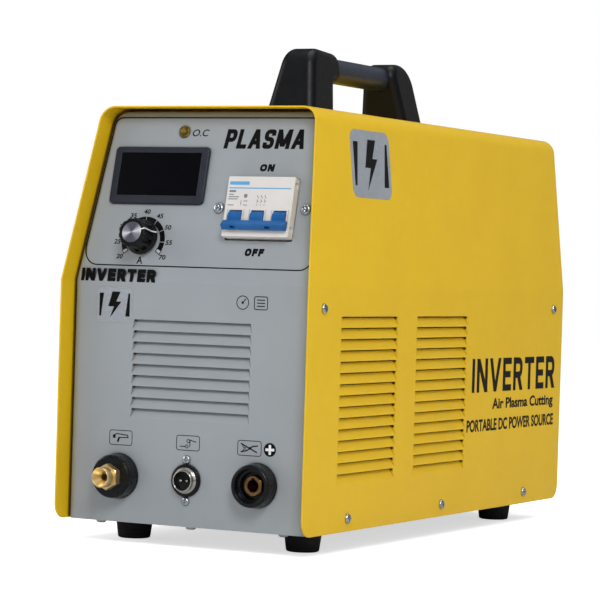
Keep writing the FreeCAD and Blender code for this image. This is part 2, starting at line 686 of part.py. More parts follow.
def breaker_body():
    """Three-pole breaker: a deep case, and a narrower nose that shows in the panel's window."""
    face = BREAKER_PROUD
    case = plate(BREAKER_WIDTH, 83.0, 1.0, -BREAKER_STEP - 44.0, -BREAKER_STEP)
    nose = plate(BREAKER_WIDTH, BREAKER_FACE, 1.0, -BREAKER_STEP - 1, face)
    cuts = []
    for x in POLES:
        cuts.append(box(x - 5.3, x + 5.3, -15.7, -2.7, face - 9.0, face + 1))
        cuts.append(Part.makeCylinder(M3_R + RUNNING, 13.0, V(x - 6.5, TOGGLE_PIVOT_V, TOGGLE_PIVOT_W),
                                      RIGHT))
        cuts += [box(x + rib - 0.3, x + rib + 0.3, -17.0, -2.0, face - 0.7, face + 1)
                 for rib in (-6.7, 6.7)]
    half = BREAKER_WIDTH / 2.0
    for side in (-1, 1):
        x0, x1 = sorted((side * (half - 0.9), side * (half + 1)))
        cuts += [box(x0, x1, y - 2.2, y + 2.2, 0.8, face - 1.2) for y in (-16.5, 16.5)]
    body = case.fuse(nose).removeSplitter().cut(cuts)
    return on_slope(body, BREAKER_X, BREAKER_Z)


def toggle_lever(x):
    """One pole's rotor and lever, standing along the face's normal."""
    rotor = Part.makeCylinder(5.15, 10.2, V(x - 5.1, 0, 0), RIGHT)
    trunnion = Part.makeCylinder(M3_R, 12.6, V(x - 6.3, 0, 0), RIGHT)
    stem = box(x - 5.1, x + 5.1, -2.4, 2.2, 0, 7.0)
    return [rotor, trunnion, stem]


def breaker_toggle():
    """The three levers and the bar that ties them, set to off."""
    shapes = [shape for x in POLES for shape in toggle_lever(x)]
    bar = along_x([(0.4, 5.3, 0), (2.3, 5.3, 0.5), (2.7, 11.6, 0.9), (-2.5, 11.6, 0.9),
                   (-2.5, 9.2, 0.6)], -25.6, 25.6)
    toggle = joined(shapes + [bar])
    toggle = toggle.cut([box(x - 2.0, x + 2.0, -0.6, 1.6, 9.8, 12.0) for x in (-16.4, 11.8)])
    toggle = turned_to(toggle, RIGHT, TOGGLE_REST)
    return on_slope(moved(toggle, 0, TOGGLE_PIVOT_V, TOGGLE_PIVOT_W), BREAKER_X, BREAKER_Z)


def breaker_bracket():
    """Strap round the back of the breaker, with an ear on the panel at each side."""
    back = -BREAKER_STEP - 44.0
    half = BREAKER_WIDTH / 2.0 + 0.3
    thick = 1.5
    shapes = [box(-half - thick, half + thick, -10, 10, back - thick, back)]
    for side in (-1, 1):
        x0, x1 = sorted((side * half, side * (half + thick)))
        e0, e1 = sorted((side * half, side * (BREAKER_SCREW_X + 2.6)))
        shapes.append(box(x0, x1, -10, 10, back - thick, -SHEET))
        shapes.append(box(e0, e1, -10, 10, -SHEET - thick, -SHEET))
    bracket = joined(shapes)
    bracket = bracket.cut([disc(M3_R, -9, 1, side * BREAKER_SCREW_X) for side in (-1, 1)])
    return on_slope(bracket, BREAKER_X, BREAKER_Z)


def breaker_screws():
    screw = pan_screw(head_r=3.9, head_h=2.3, shank_r=M3_R, length=8.0)
    return [on_slope(moved(screw, side * BREAKER_SCREW_X, 0, 0), BREAKER_X, BREAKER_Z)
            for side in (-1, 1)]


# Sockets

def socket_flange(radius, inside):
    """Insulating collar on the panel, with a spigot that centres it in its hole."""
    top = FLANGE_PROUD
    bore = SOCKET_TAIL_R + 0.1
    spigot = FLANGE_HOLE_R - 0.1
    profile = [(bore, -SHEET + 0.1), (spigot, -SHEET + 0.1), (spigot, 0), (radius, 0),
               (radius - 0.4, 2.0), (radius - 0.9, top - 1.6), (radius - 1.4, top - 0.5),
               (radius - 2.2, top)]
    return turned(profile + inside + [(bore, inside[-1][1])])


def torch_socket_flange():
    return on_front(socket_flange(TORCH_FLANGE_R, [(8.0, FLANGE_PROUD)]), TORCH_X, SOCKET_Z)


def clamp_socket_flange():
    """The collar's mouth steps down to a pocket round the socket's hexagon."""
    top = FLANGE_PROUD
    mouth = [(12.4, top), (12.0, top - 0.6), (11.8, top - 5.0), (10.2, top - 5.3),
             (9.6, top - CLAMP_DEPTH)]
    return on_front(socket_flange(CLAMP_FLANGE_R, mouth), CLAMP_X, SOCKET_Z)


def torch_fitting():
    """Gas and current union: hexagon, threaded nose with a conical seat, and a hose tail."""
    base = FLANGE_PROUD
    tip = TORCH_PROUD
    bore = TORCH_BORE_R
    nose = turned([(bore, -SOCKET_TAIL - 10), (4.0, -SOCKET_TAIL - 10), (4.0, -SOCKET_TAIL),
                   (SOCKET_TAIL_R, -SOCKET_TAIL), (SOCKET_TAIL_R, base), (6.8, base), (6.8, base + 6.8),
                   (TORCH_NOSE_R, base + 7.4), (TORCH_NOSE_R, tip - 1.2), (TORCH_NOSE_R - 0.6, tip),
                   (TORCH_NOSE_R - 1.1, tip), (bore, tip - 6.2)])
    grip = turned_to(hexagon(16.6, base, base + 6.0), UP, 30)
    chamfer = turned([(0, base), (9.6, base), (9.6, base + 5.3), (8.6, base + 6.0), (0, base + 6.0)])
    grip = grip.common(chamfer).cut(disc(bore, 0, 30))
    return on_front(nose.fuse(grip).removeSplitter(), TORCH_X, SOCKET_Z)


def clamp_socket_insert():
    """Keyed bayonet socket that takes a cable plug, with a hexagon to hold it by."""
    floor = FLANGE_PROUD - CLAMP_DEPTH
    chamfer = turned([(0, floor), (8.5, floor), (8.5, floor + 2.2), (7.0, floor + 3.2), (0, floor + 3.2)])
    grip = turned_to(hexagon(13.8, floor, floor + 3.2), UP, 30).common(chamfer)
    body = grip.fuse(disc(SOCKET_TAIL_R, -SOCKET_TAIL, floor)).removeSplitter()
    bore = disc(CLAMP_BORE_R, floor - 20.8, floor + 4)
    key = box(-1.3, 1.3, 0, 5.7, floor - 14.0, floor + 4)
    return on_front(body.cut([bore, key]), CLAMP_X, SOCKET_Z)


def socket_washers():
    washer = ring(15.0, SOCKET_TAIL_R + 0.1, -SHEET - 3.0, -SHEET)
    return [on_front(washer, x, SOCKET_Z) for x in (TORCH_X, CLAMP_X)]


def socket_nuts():
    nut = hexagon(19.0, -SHEET - 8.0, -SHEET - 3.0).cut(disc(SOCKET_TAIL_R, -30, 1))
    return [on_front(nut, x, SOCKET_Z) for x in (TORCH_X, CLAMP_X)]


def control_socket_gasket():
    gasket = turned([(8.9, 0), (11.8, 0), (11.8, 1.2), (11.2, 1.9), (8.9, 1.9)])
    return on_front(gasket, CONTROL_X, SOCKET_Z)


def control_socket_shell():
    """Metal shell with a flange behind the panel that takes the two screws."""
    shell = turned([(6.9, -16.0), (7.5, -16.0), (7.5, -3.4), (8.5, -3.4), (8.5, 1.9), (9.7, 1.9),
                    (9.5, 2.5), (8.3, 3.7), (7.9, 3.7), (7.9, 6.1), (7.6, 6.4), (7.1, 6.4), (6.9, 6.2)])
    flange = plate(18.0, 38.0, 5.0, -3.4, -SHEET).cut(disc(8.0, -10, 10))
    holes = [disc(M3_R, -9, 1, 0, side * CONTROL_SCREW_Z) for side in (-1, 1)]
    return on_front(shell.fuse(flange).removeSplitter().cut(holes), CONTROL_X, SOCKET_Z)


def control_socket_insert():
    insert = disc(6.9, -14.0, -0.5)
    pins = [disc(1.0, -30, 30, side * CONTROL_PIN_X) for side in (-1, 1)]
    return on_front(insert.cut(pins), CONTROL_X, SOCKET_Z)


def control_socket_pins():
    tip = 4.4
    pin = disc(1.0, -20.0, tip)
    rim = [edge for edge in pin.Edges if abs(edge.BoundBox.ZMin - tip) < 1e-6]
    pin = pin.makeFillet(0.8, rim)
    return [on_front(moved(pin, side * CONTROL_PIN_X, 0, 0), CONTROL_X, SOCKET_Z) for side in (-1, 1)]


def control_socket_screws():
    screw = pan_screw(head_r=3.0, head_h=1.9, shank_r=M3_R, length=6.0)
    return [on_front(moved(screw, 0, side * CONTROL_SCREW_Z, 0), CONTROL_X, SOCKET_Z)
            for side in (-1, 1)]


# Rear: fan, mains entry, gas inlet and earth. Fan parts are drawn facing +Z, out of the panel.

def fan_frame():
    """Square duct with the motor mount carried on four struts at the outer face."""
    outer = -SHEET
    inner = -SHEET - FAN_THICK
    frame = plate(FAN_SIZE, FAN_SIZE, 5.0, inner, outer).cut(disc(FAN_BORE_R, inner - 1, outer + 1))
    hub = disc(20.0, outer - 6.0, outer)
    struts = [turned_to(box(18.0, FAN_BORE_R + 1.0, -2.0, 2.0, outer - 5.0, outer), UP, a)
              for a in (20, 110, 200, 290)]
    frame = frame.fuse([hub] + struts).removeSplitter()
    holes = [disc(2.1, inner - 1, outer + 1, x, y) for x, y in fan_screw_places()]
    shaft_hole = disc(2.0 + RUNNING, outer - 7.0, outer - 1.0)
    return on_rear(frame.cut(holes + [shaft_hole]), 0, FAN_Z)


def fan_rotor():
    """Hub with pitched blades on a shaft that turns in the motor mount."""
    front = -SHEET - FAN_THICK + 3.0
    back = -SHEET - 7.0
    middle = (front + back) / 2.0
    blades = []
    for i in range(FAN_BLADES):
        blade = box(17.0, 60.0, -21.0, 21.0, -1.1, 1.1)
        blade.rotate(ORIGIN, RIGHT, 38)
        blade = moved(blade, 0, 0, middle)
        blades.append(turned_to(blade, UP, i * 360.0 / FAN_BLADES))
    swept = ring(FAN_BORE_R - 2.0, 19.0, front, back)
    blades = [blade.common(swept) for blade in blades]
    hub = disc(20.0, front, back).fuse(disc(2.0, back, -SHEET - 1.6))
    return on_rear(hub.fuse(blades).removeSplitter(), 0, FAN_Z)


def fan_guard():
    """Wire guard: rings on four crossed wires that end in eyes at the fan's screws."""
    wire = 1.0
    level = wire + 1.6
    rings = [Part.makeTorus(radius, wire, V(0, 0, level)) for radius in (13.0, 24.0, 35.0, 46.0, 57.0)]
    reach = FAN_HOLE * math.sqrt(2)
    parts = []
    for angle in (45, 135, 225, 315):
        arm = Part.makeCylinder(wire, reach - 16.0, V(12.0, 0, wire), RIGHT)
        eye = moved(ring(4.4, 2.2, 0, 2 * wire), reach, 0, 0)
        parts += [turned_to(arm, UP, angle), turned_to(eye, UP, angle)]
    return on_rear(rings[0].fuse(rings[1:] + parts), 0, FAN_Z)


def fan_screws():
    screw = moved(pan_screw(head_r=3.8, head_h=2.4, shank_r=M4_R, length=30.0), 0, 0, 2.0)
    return [on_rear(moved(screw, x, y, 0), 0, FAN_Z) for x, y in fan_screw_places()]


def cable_gland():
    """Threaded body through the panel, a hexagon, a domed cap and a lock nut inside."""
    dome = turned([(CORD_R, 6.0), (10.5, 6.0), (10.5, 11.0), (9.0, 15.0), (7.4, 17.0), (CORD_R, 17.0)])
    thread = disc(GLAND_THREAD_R, -14.0, 0)
    body = joined([hexagon(23.0, 0, 6.0), thread, hexagon(23.0, -7.2, -SHEET), dome])
    return on_rear(body.cut(disc(CORD_R, -20, 20)), GLAND_X, GLAND_Z)


def mains_cord():
    """Short length of the mains cord: it droops behind the gland and ends in three bare cores."""
    end_y = REAR + REAR_REACH - CORD_R
    bottom = GLAND_Z - 34.0
    path = [V(GLAND_X, REAR_PANEL_Y - 34.0, GLAND_Z), V(GLAND_X, end_y, GLAND_Z),
            V(GLAND_X, end_y, bottom)]
    sheath = pipe(path, CORD_R, 20.0)
    cores = []
    for angle in (90, 210, 330):
        x = GLAND_X + 2.6 * math.cos(math.radians(angle))
        y = end_y + 2.6 * math.sin(math.radians(angle))
        cores.append(disc(1.6, bottom - 8.0, bottom + 1.0, x, y))
        cores.append(disc(0.9, bottom - 15.0, bottom - 7.0, x, y))
    return sheath.fuse(cores).removeSplitter()


def gas_inlet():
    """Hexagon bulkhead fitting with a grooved hose tail outside and a thread inside."""
    turned_part = turned([(2.0, -22.0), (5.0, -22.0), (5.0, -GAS_THREAD), (GAS_THREAD_R, -GAS_THREAD),
                          (GAS_THREAD_R, 0), (7.5, 0),
                          (7.5, 7.0), (4.0, 8.0), (4.0, 21.0), (3.5, 21.4), (3.5, 22.2), (3.95, 22.7),
                          (3.4, 24.0), (2.0, 24.0)])
    hexagon_part = hexagon(17.0, 0, 6.0).cut(disc(2.0, -30, 30))
    return on_rear(turned_part.fuse(hexagon_part).removeSplitter(), GAS_X, GAS_Z)


def gas_valve_body():
    """Solenoid valve on the inlet: a ported block under a coil, with the plunger's bore inside."""
    back = REAR_PANEL_Y - GAS_THREAD
    block = box(GAS_X - 15, GAS_X + 15, back - 30, back, GAS_Z - 11, GAS_Z + 11)
    coil = disc(14.0, GAS_Z + 11, GAS_Z + 45, GAS_X, VALVE_Y)
    outlet = Part.makeCylinder(4.0, 12.0, V(GAS_X, back - 42, GAS_Z - 6), BACK)
    port_in = Part.makeCylinder(5.0, 8.2, V(GAS_X, back - 8.2, GAS_Z), BACK)
    port_out = Part.makeCylinder(2.0, 14.0, V(GAS_X, back - 43, GAS_Z - 6), BACK)
    bore = disc(PLUNGER_R + RUNNING, GAS_Z + 3, GAS_Z + 43, GAS_X, VALVE_Y)
    return joined([block, coil, outlet]).cut([port_in, port_out, bore])


def gas_valve_plunger():
    return disc(PLUNGER_R, GAS_Z + 5, GAS_Z + 25, GAS_X, VALVE_Y)


def gas_valve_spring():
    """Coil spring between the plunger and the closed end of its bore."""
    low = GAS_Z + 25.5
    helix = Part.makeHelix(3.0, 16.0, 3.0)
    section = Part.Wire(Part.makeCircle(0.4, V(3.0, 0, 0), BACK))
    coil = Part.Wire(helix).makePipeShell([section], True, True)
    return moved(coil, GAS_X, VALVE_Y, low)


def gas_hose():
    """Hose from the valve along the left wall to the back of the torch fitting."""
    z = GAS_Z - 6.0
    wall = -WIDTH / 2.0 + 15.0
    valve_y = REAR_PANEL_Y - 44.0
    socket_y = PANEL_Y + SOCKET_TAIL + 0.5
    path = [V(GAS_X, valve_y, z), V(GAS_X, valve_y - 19, z), V(wall, valve_y - 46, z),
            V(wall, socket_y + 70, SOCKET_Z), V(TORCH_X, socket_y + 35, SOCKET_Z),
            V(TORCH_X, socket_y, SOCKET_Z)]
    return pipe(path, 6.5, 14.0).cut(pipe(path, 4.0, 14.0))


def earth_stud():
    """Threaded stud pressed into the panel from behind, with a head that keeps it there."""
    stud = joined([disc(3.0, 0, 16.0), disc(EARTH_NECK_R, -SHEET, 0),
                   disc(5.5, -SHEET - 2.5, -SHEET)])
    return on_rear(stud, 0, EARTH_Z)


# Power electronics

def power_board():
    middle = (BOARD_FRONT + BOARD_BACK) / 2.0
    board = plate(BOARD_WIDTH, BOARD_BACK - BOARD_FRONT, 3.0, BOARD_Z, BOARD_TOP, 0, middle)
    return board.cut([disc(M3_HOLE_R, BOARD_Z - 1, BOARD_TOP + 1, x, y)
                      for x, y in standoff_places()])


def standoff_places():
    return [(x, y) for x in (-STANDOFF_X, STANDOFF_X)
            for y in (BOARD_FRONT + 8, FRONT + 220, BOARD_BACK - 8)]


def board_standoffs():
    stud = disc(M3_R, BOARD_Z, BOARD_TOP + 1.5)
    post = hexagon(8.0, DECK_Z, BOARD_Z).fuse(stud).removeSplitter()
    return [moved(post, x, y, 0) for x, y in standoff_places()]


def heatsinks():
    """A finned extrusion on each side of the tunnel that the fan draws air through."""
    z0 = BOARD_TOP
    x0 = HEATSINK_FOOT_X
    web = box(x0, x0 + 6, *HEATSINK_Y, z0, z0 + HEATSINK_HEIGHT)
    levels = [z0 + 2 + i * FIN_PITCH for i in range(int(HEATSINK_HEIGHT / FIN_PITCH))]
    fins = [box(x0 + 6, HEATSINK_REACH_X, *HEATSINK_Y, z, z + FIN_THICK) for z in levels]
    right = joined([web] + fins)
    return [right, right.mirror(ORIGIN, RIGHT)]


def power_transistors():
    """Ten power devices clamped to the inner faces of the heatsinks."""
    z0 = BOARD_TOP
    devices = []
    for side in (-1, 1):
        for i in range(5):
            y = HEATSINK_Y[0] + 14.0 + i * 29.0
            x0, x1 = sorted((side * HEATSINK_FOOT_X, side * (HEATSINK_FOOT_X - 5)))
            l0, l1 = sorted((side * (HEATSINK_FOOT_X - 2), side * (HEATSINK_FOOT_X - 2.7)))
            body = box(x0, x1, y - 8, y + 8, z0 + 12, z0 + 32)
            legs = [box(l0, l1, y + k - 0.6, y + k + 0.6, z0, z0 + 13) for k in (-5.4, 0.0, 5.4)]
            devices.append(joined([body] + legs))
    return devices


def bulk_capacitors():
    can = turned([(0, 0), (14.6, 0), (15.0, 0.6), (15.0, 3.0), (14.4, 4.0), (15.0, 5.0), (15.0, 49.0),
                  (14.0, 50.0), (0, 50.0)])
    return [moved(can, x, BOARD_FRONT + 25.0, BOARD_TOP) for x in (-54.0, -18.0, 18.0, 54.0)]


def transformer_core():
    z0 = BOARD_TOP
    w = CORE_WIDTH / 2.0
    core = box(-w, w, -CORE_DEPTH / 2, CORE_DEPTH / 2, z0, z0 + CORE_HEIGHT)
    for side in (-1, 1):
        x0, x1 = sorted((side * CORE_LEG / 2, side * (w - CORE_LIMB)))
        core = core.cut(box(x0, x1, -CORE_DEPTH, CORE_DEPTH, z0 + CORE_LIMB,
                            z0 + CORE_HEIGHT - CORE_LIMB))
    return moved(core, TRANSFORMER_X, TRANSFORMER_Y, 0)


def transformer_windings():
    """Winding round the centre leg, with a groove between primary and secondary."""
    z0 = BOARD_TOP + CORE_LIMB + 0.5
    z1 = BOARD_TOP + CORE_HEIGHT - CORE_LIMB - 0.5
    window = CORE_WIDTH / 2.0 - CORE_LIMB - 0.4
    deep = CORE_DEPTH / 2.0 + 9.0
    coil = plate(2 * window, 2 * deep, 6.0, z0, z1)
    hollow = plate(CORE_LEG + 0.8, CORE_DEPTH + 0.8, 0, z0 - 1, z1 + 1)
    middle = (z0 + z1) / 2.0
    groove = plate(90, 90, 0, middle - 1, middle + 1).cut(plate(2 * window - 3, 2 * deep - 3, 5,
                                                              middle - 2, middle + 2))
    return moved(coil.cut([hollow, groove]), TRANSFORMER_X, TRANSFORMER_Y, 0)


def output_inductor():
    """Toroidal choke standing on edge, wound with heavy wire."""
    core = ring(30.0, 16.0, -12.0, 12.0)
    turns = 20
    loops = [turned_to(box(14.0, 32.0, -1.6, 1.6, -14.0, 14.0), UP, i * 360.0 / turns)
             for i in range(turns)]
    choke = core.fuse(loops).removeSplitter()
    choke.rotate(ORIGIN, RIGHT, 90)
    return moved(choke, 42.0, TRANSFORMER_Y, BOARD_TOP + 32.0)


def bridge_rectifier():
    y = HEATSINK_Y[0] + 20.0
    return plate(34.0, 34.0, 2.0, BOARD_TOP, BOARD_TOP + 11.0, 0, y).cut(
        disc(2.5, BOARD_TOP - 1, BOARD_TOP + 12, 0, y))


def output_busbar():
    """Copper strap from the clamp socket's tail back to the power board."""
    tail = PANEL_Y + SHEET + 8.0
    z = BOARD_TOP
    strap = along_x([(tail, z, 2), (tail, SOCKET_Z + 13, 0), (tail + 3, SOCKET_Z + 13, 0),
                     (tail + 3, z + 3, 0), (BOARD_FRONT + 8, z + 3, 0), (BOARD_FRONT + 8, z, 0)],
                    CLAMP_X - 9.0, CLAMP_X + 9.0)
    hole = Part.makeCylinder(SOCKET_TAIL_R, 10, V(CLAMP_X, tail - 3, SOCKET_Z), BACK)
    return strap.cut(hole)


NODES = [
    top_cover, front_panel, rear_panel, base_pan, rubber_feet, foot_screws, cover_screws,
    base_screws, handle_tube, handle_screws, control_knob, knob_cap, potentiometer_shaft,
    potentiometer_body, potentiometer_nut, status_led, led_holder, display_bezel, display_window,
    display_board, display_digits, breaker_body, breaker_toggle, breaker_bracket, breaker_screws,
    torch_socket_flange, torch_fitting, socket_washers, socket_nuts, clamp_socket_flange,
    clamp_socket_insert, control_socket_gasket, control_socket_shell, control_socket_insert,
    control_socket_pins, control_socket_screws, fan_frame, fan_rotor, fan_guard, fan_screws,
    mains_cord, cable_gland, gas_inlet, gas_valve_body, gas_valve_plunger, gas_valve_spring,
    gas_hose, earth_stud, power_board, board_standoffs, heatsinks, power_transistors,
    bulk_capacitors, transformer_core, transformer_windings, output_inductor, bridge_rectifier,
    output_busbar,
]


def save(name, shape):
    if isinstance(shape, list):
        shape = Part.makeCompound(shape)
    if not shape.isValid() or not shape.Solids:
        raise ValueError(name + " is not a valid solid")
    shape.exportStep("parts/" + name + ".step")


def main():
    os.makedirs("parts", exist_ok=True)
    for build in NODES:
        save(build.__name__, build())
    save("handle_front_post", handle_post(-1))
    save("handle_rear_post", handle_post(1))


main()
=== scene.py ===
import json
import math

import bmesh
import bpy
from mathutils import Matrix, Vector


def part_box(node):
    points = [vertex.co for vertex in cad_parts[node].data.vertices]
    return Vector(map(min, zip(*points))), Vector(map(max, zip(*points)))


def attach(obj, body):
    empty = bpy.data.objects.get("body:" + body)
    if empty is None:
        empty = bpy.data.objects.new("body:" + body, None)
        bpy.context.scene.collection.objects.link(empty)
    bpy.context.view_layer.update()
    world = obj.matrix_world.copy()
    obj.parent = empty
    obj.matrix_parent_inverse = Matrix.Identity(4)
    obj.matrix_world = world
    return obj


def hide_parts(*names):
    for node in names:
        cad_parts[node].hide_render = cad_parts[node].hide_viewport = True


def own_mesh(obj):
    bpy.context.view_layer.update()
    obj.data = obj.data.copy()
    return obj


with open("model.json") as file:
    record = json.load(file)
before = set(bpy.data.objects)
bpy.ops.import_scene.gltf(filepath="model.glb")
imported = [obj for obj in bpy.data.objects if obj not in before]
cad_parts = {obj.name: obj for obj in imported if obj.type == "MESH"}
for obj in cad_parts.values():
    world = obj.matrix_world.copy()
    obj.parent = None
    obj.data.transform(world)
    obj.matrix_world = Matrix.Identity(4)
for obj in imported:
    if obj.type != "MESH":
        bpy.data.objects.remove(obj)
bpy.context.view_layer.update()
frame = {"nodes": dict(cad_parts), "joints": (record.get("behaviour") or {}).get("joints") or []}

# Looks of the plasma cutter unit. Lengths in the helpers below are millimetres in the plane of a
# panel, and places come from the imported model.

MM = 0.001
INK_LIFT = 0.02          # printed marks start this far off the surface
INK_THICK = 0.05
STROKE_STEP = 0.01       # strokes that cross each other lie this much above one another

NODES = frame["nodes"]
JOINTS = {joint["name"]: joint for joint in frame["joints"]}
COVER_LOW, COVER_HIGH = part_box("top_cover")
PANEL_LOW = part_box("front_panel")[0]
KINK_Z = 0.192           # height of the bend between the upright and leaning parts
TOP_HALF_WIDTH = 0.089   # half of the cover's width where its leaning sides meet the top


# Colours and materials

def srgb(red, green, blue):
    """Linear colour from 0-255 display values."""
    def linear(value):
        value /= 255.0
        if value <= 0.04045:
            return value / 12.92
        return ((value + 0.055) / 1.055) ** 2.4
    return (linear(red), linear(green), linear(blue), 1.0)


class Look:
    """A Principled material whose colour, roughness and relief are built from procedural nodes."""

    def __init__(self, name, colour, rough, metal=0.0):
        self.material = bpy.data.materials.new(name)
        self.material.use_nodes = True
        self.tree = self.material.node_tree
        self.shader = self.tree.nodes["Principled BSDF"]
        self.place = self.add("ShaderNodeTexCoord").outputs["Object"]
        self.shader.inputs["Metallic"].default_value = metal
        self.colour = self.add("ShaderNodeRGB").outputs[0]
        self.colour.default_value = colour
        self.rough = self.add("ShaderNodeValue").outputs[0]
        self.rough.default_value = rough
        self.normal = None

    def add(self, kind, **settings):
        node = self.tree.nodes.new(kind)
        for key, value in settings.items():
            setattr(node, key, value)
        return node

    def link(self, source, target):
        self.tree.links.new(source, target)

    def noise(self, size, detail=3.0, stretch=(1.0, 1.0, 1.0)):
        """Noise between 0 and 1 whose features are about size millimetres across."""
        mapping = self.add("ShaderNodeMapping")
        mapping.inputs["Scale"].default_value = stretch
        self.link(self.place, mapping.inputs["Vector"])
        noise = self.add("ShaderNodeTexNoise")
        noise.inputs["Scale"].default_value = 1.0 / (size * MM)
        noise.inputs["Detail"].default_value = detail
        self.link(mapping.outputs[0], noise.inputs["Vector"])
        return noise.outputs["Fac"]

    def remap(self, value, low, high, to_low=0.0, to_high=1.0):
        node = self.add("ShaderNodeMapRange")
        node.inputs["From Min"].default_value = low
        node.inputs["From Max"].default_value = high
        node.inputs["To Min"].default_value = to_low
        node.inputs["To Max"].default_value = to_high
        self.link(value, node.inputs["Value"])
        return node.outputs[0]

    def maths(self, operation, first, second):
        node = self.add("ShaderNodeMath", operation=operation)
        for socket, value in zip(node.inputs, (first, second)):
            if isinstance(value, (int, float)):
                socket.default_value = value
            else:
                self.link(value, socket)
        return node.outputs[0]

    def vectors(self, operation, first, second=(0, 0, 0), output=0):
        node = self.add("ShaderNodeVectorMath", operation=operation)
        self.link(first, node.inputs[0])
        node.inputs[1].default_value = second
        return node.outputs[output]

    def tint(self, colour, mask):
        """Mix the colour so far towards another one where mask is high."""
        node = self.add("ShaderNodeMix", data_type="RGBA")
        self.link(mask, node.inputs[0])
        self.link(self.colour, node.inputs[6])
        node.inputs[7].default_value = colour
        self.colour = node.outputs[2]
        return self

    def mottle(self, colour, size, amount):
        """Uneven colour: cloudy patches of a second colour."""
        return self.tint(colour, self.remap(self.noise(size), 0.35, 0.75, 0.0, amount))

    def smudge(self, size, spread):
        """Uneven roughness, spread either way of its mean."""
        change = self.remap(self.noise(size, 4.0), 0.3, 0.7, -spread, spread)
        self.rough = self.maths("ADD", self.rough, change)
        return self

    def relief(self, height, depth):
        """Raise the surface by a height map, depth in millimetres."""
        node = self.add("ShaderNodeBump")
        node.inputs["Distance"].default_value = depth * MM
        node.inputs["Strength"].default_value = 1.0
        self.link(height, node.inputs["Height"])
        if self.normal:
            self.link(self.normal, node.inputs["Normal"])
        self.normal = node.outputs[0]
        return self

    def grain(self, size, depth, stretch=(1.0, 1.0, 1.0)):
        return self.relief(self.noise(size, 2.0, stretch), depth)

    def edges(self, colour, radius, amount=1.0, shift=0.0):
        """Rounded, worn edges: the shading turns over radius millimetres, and the colour shows wear."""
        bevel = self.add("ShaderNodeBevel", samples=4)
        bevel.inputs["Radius"].default_value = radius * MM
        true = self.add("ShaderNodeNewGeometry").outputs["Normal"]
        dot = self.add("ShaderNodeVectorMath", operation="DOT_PRODUCT")
        self.link(bevel.outputs[0], dot.inputs[0])
        self.link(true, dot.inputs[1])
        edge = self.remap(dot.outputs["Value"], 0.97, 0.80)
        patchy = self.remap(self.noise(2.5, 4.0), 0.42, 0.62, 0.15, amount)
        worn = self.maths("MULTIPLY", edge, patchy)
        self.tint(colour, worn)
        if shift:
            self.rough = self.maths("ADD", self.rough, self.maths("MULTIPLY", worn, shift))
        if self.normal is None:
            self.normal = bevel.outputs[0]
        return self

    def crevices(self, colour, reach, amount):
        """Painted shade in narrow recesses, within reach millimetres of another surface."""
        # painted shade: the colour goes darker where ambient occlusion finds the surface hemmed in
        shade = self.add("ShaderNodeAmbientOcclusion", samples=6)
        shade.inputs["Distance"].default_value = reach * MM
        return self.tint(colour, self.remap(shade.outputs["AO"], 0.80, 0.46, 0.0, amount))

    def dust(self, colour, amount):
        """A thin film that settles on surfaces facing up."""
        split = self.add("ShaderNodeSeparateXYZ")
        self.link(self.add("ShaderNodeNewGeometry").outputs["Normal"], split.inputs[0])
        up = self.remap(split.outputs["Z"], 0.5, 1.0, 0.0, amount)
        film = self.maths("MULTIPLY", up, self.remap(self.noise(14.0, 5.0), 0.3, 0.7))
        self.tint(colour, film)
        self.rough = self.maths("ADD", self.rough, self.maths("MULTIPLY", film, 0.5))
        return self

    def set(self, **inputs):
        """Set Principled inputs, whose spaces are written as underscores."""
        for key, value in inputs.items():
            self.shader.inputs[key.replace("_", " ")].default_value = value
        return self

    def done(self):
        self.link(self.colour, self.shader.inputs["Base Color"])
        self.link(self.rough, self.shader.inputs["Roughness"])
        if self.normal:
            self.link(self.normal, self.shader.inputs["Normal"])
        return self.material


def yellow_coat():
    look = Look("yellow_powder_coat", srgb(229, 188, 22), 0.40)
    look.mottle(srgb(222, 180, 18), 45.0, 0.5).smudge(9.0, 0.05)
    look.edges(srgb(238, 206, 90), 0.5, 0.5).grain(1.1, 0.010).grain(0.35, 0.003)
    # painted shade: brown shade darkens the louvre recesses and narrow gaps of the yellow coat
    look.dust(srgb(225, 215, 190), 0.04).crevices(srgb(70, 46, 10), 2.6, 0.9)
    return look.set(Specular_IOR_Level=0.28).done()


def grey_coat():
    look = Look("grey_powder_coat", srgb(150, 156, 161), 0.46)
    look.mottle(srgb(144, 150, 156), 60.0, 0.6).smudge(8.0, 0.06)
    look.edges(srgb(182, 186, 190), 0.5, 0.5).grain(0.7, 0.012).grain(0.25, 0.004)
    # painted shade: near-black shade darkens the louvre recesses and the panel round fitted parts
    return look.dust(srgb(190, 188, 182), 0.15).crevices(srgb(22, 24, 26), 2.6, 0.98).done()


def zinc_sheet():
    look = Look("zinc_sheet", srgb(176, 180, 184), 0.35, 1.0)
    look.mottle(srgb(150, 156, 164), 6.0, 0.8).smudge(4.0, 0.10)
    return look.grain(0.4, 0.004, (1.0, 0.1, 1.0)).done()


def moulded(name, colour, lighter, rough, grain, depth, edge, shine=0.3):
    """Moulded plastic or phenolic with a fine spark-eroded skin and slightly rubbed edges."""
    look = Look(name, colour, rough)
    look.mottle(lighter, 20.0, 0.25).smudge(5.0, 0.05)
    look.edges(lighter, edge, 0.5, 0.05).grain(grain, depth)
    return look.set(Specular_IOR_Level=shine).done()


def rubber(name, colour):
    look = Look(name, colour, 0.72)
    look.mottle(srgb(44, 43, 42), 7.0, 0.35).smudge(3.0, 0.08)
    look.edges(srgb(58, 57, 55), 0.6, 0.6).grain(0.35, 0.02)
    return look.dust(srgb(110, 106, 98), 0.15).set(Specular_IOR_Level=0.25).done()


def metal(name, colour, darker, rough, edge=0.25, grain=0.3, depth=0.003):
    """Plated or plain metal with faint handling marks."""
    look = Look(name, colour, rough, 1.0)
    look.mottle(darker, 3.0, 0.7).smudge(1.5, 0.07)
    look.edges(colour, edge, 0.5, -0.05).grain(grain, depth)
    return look.done()


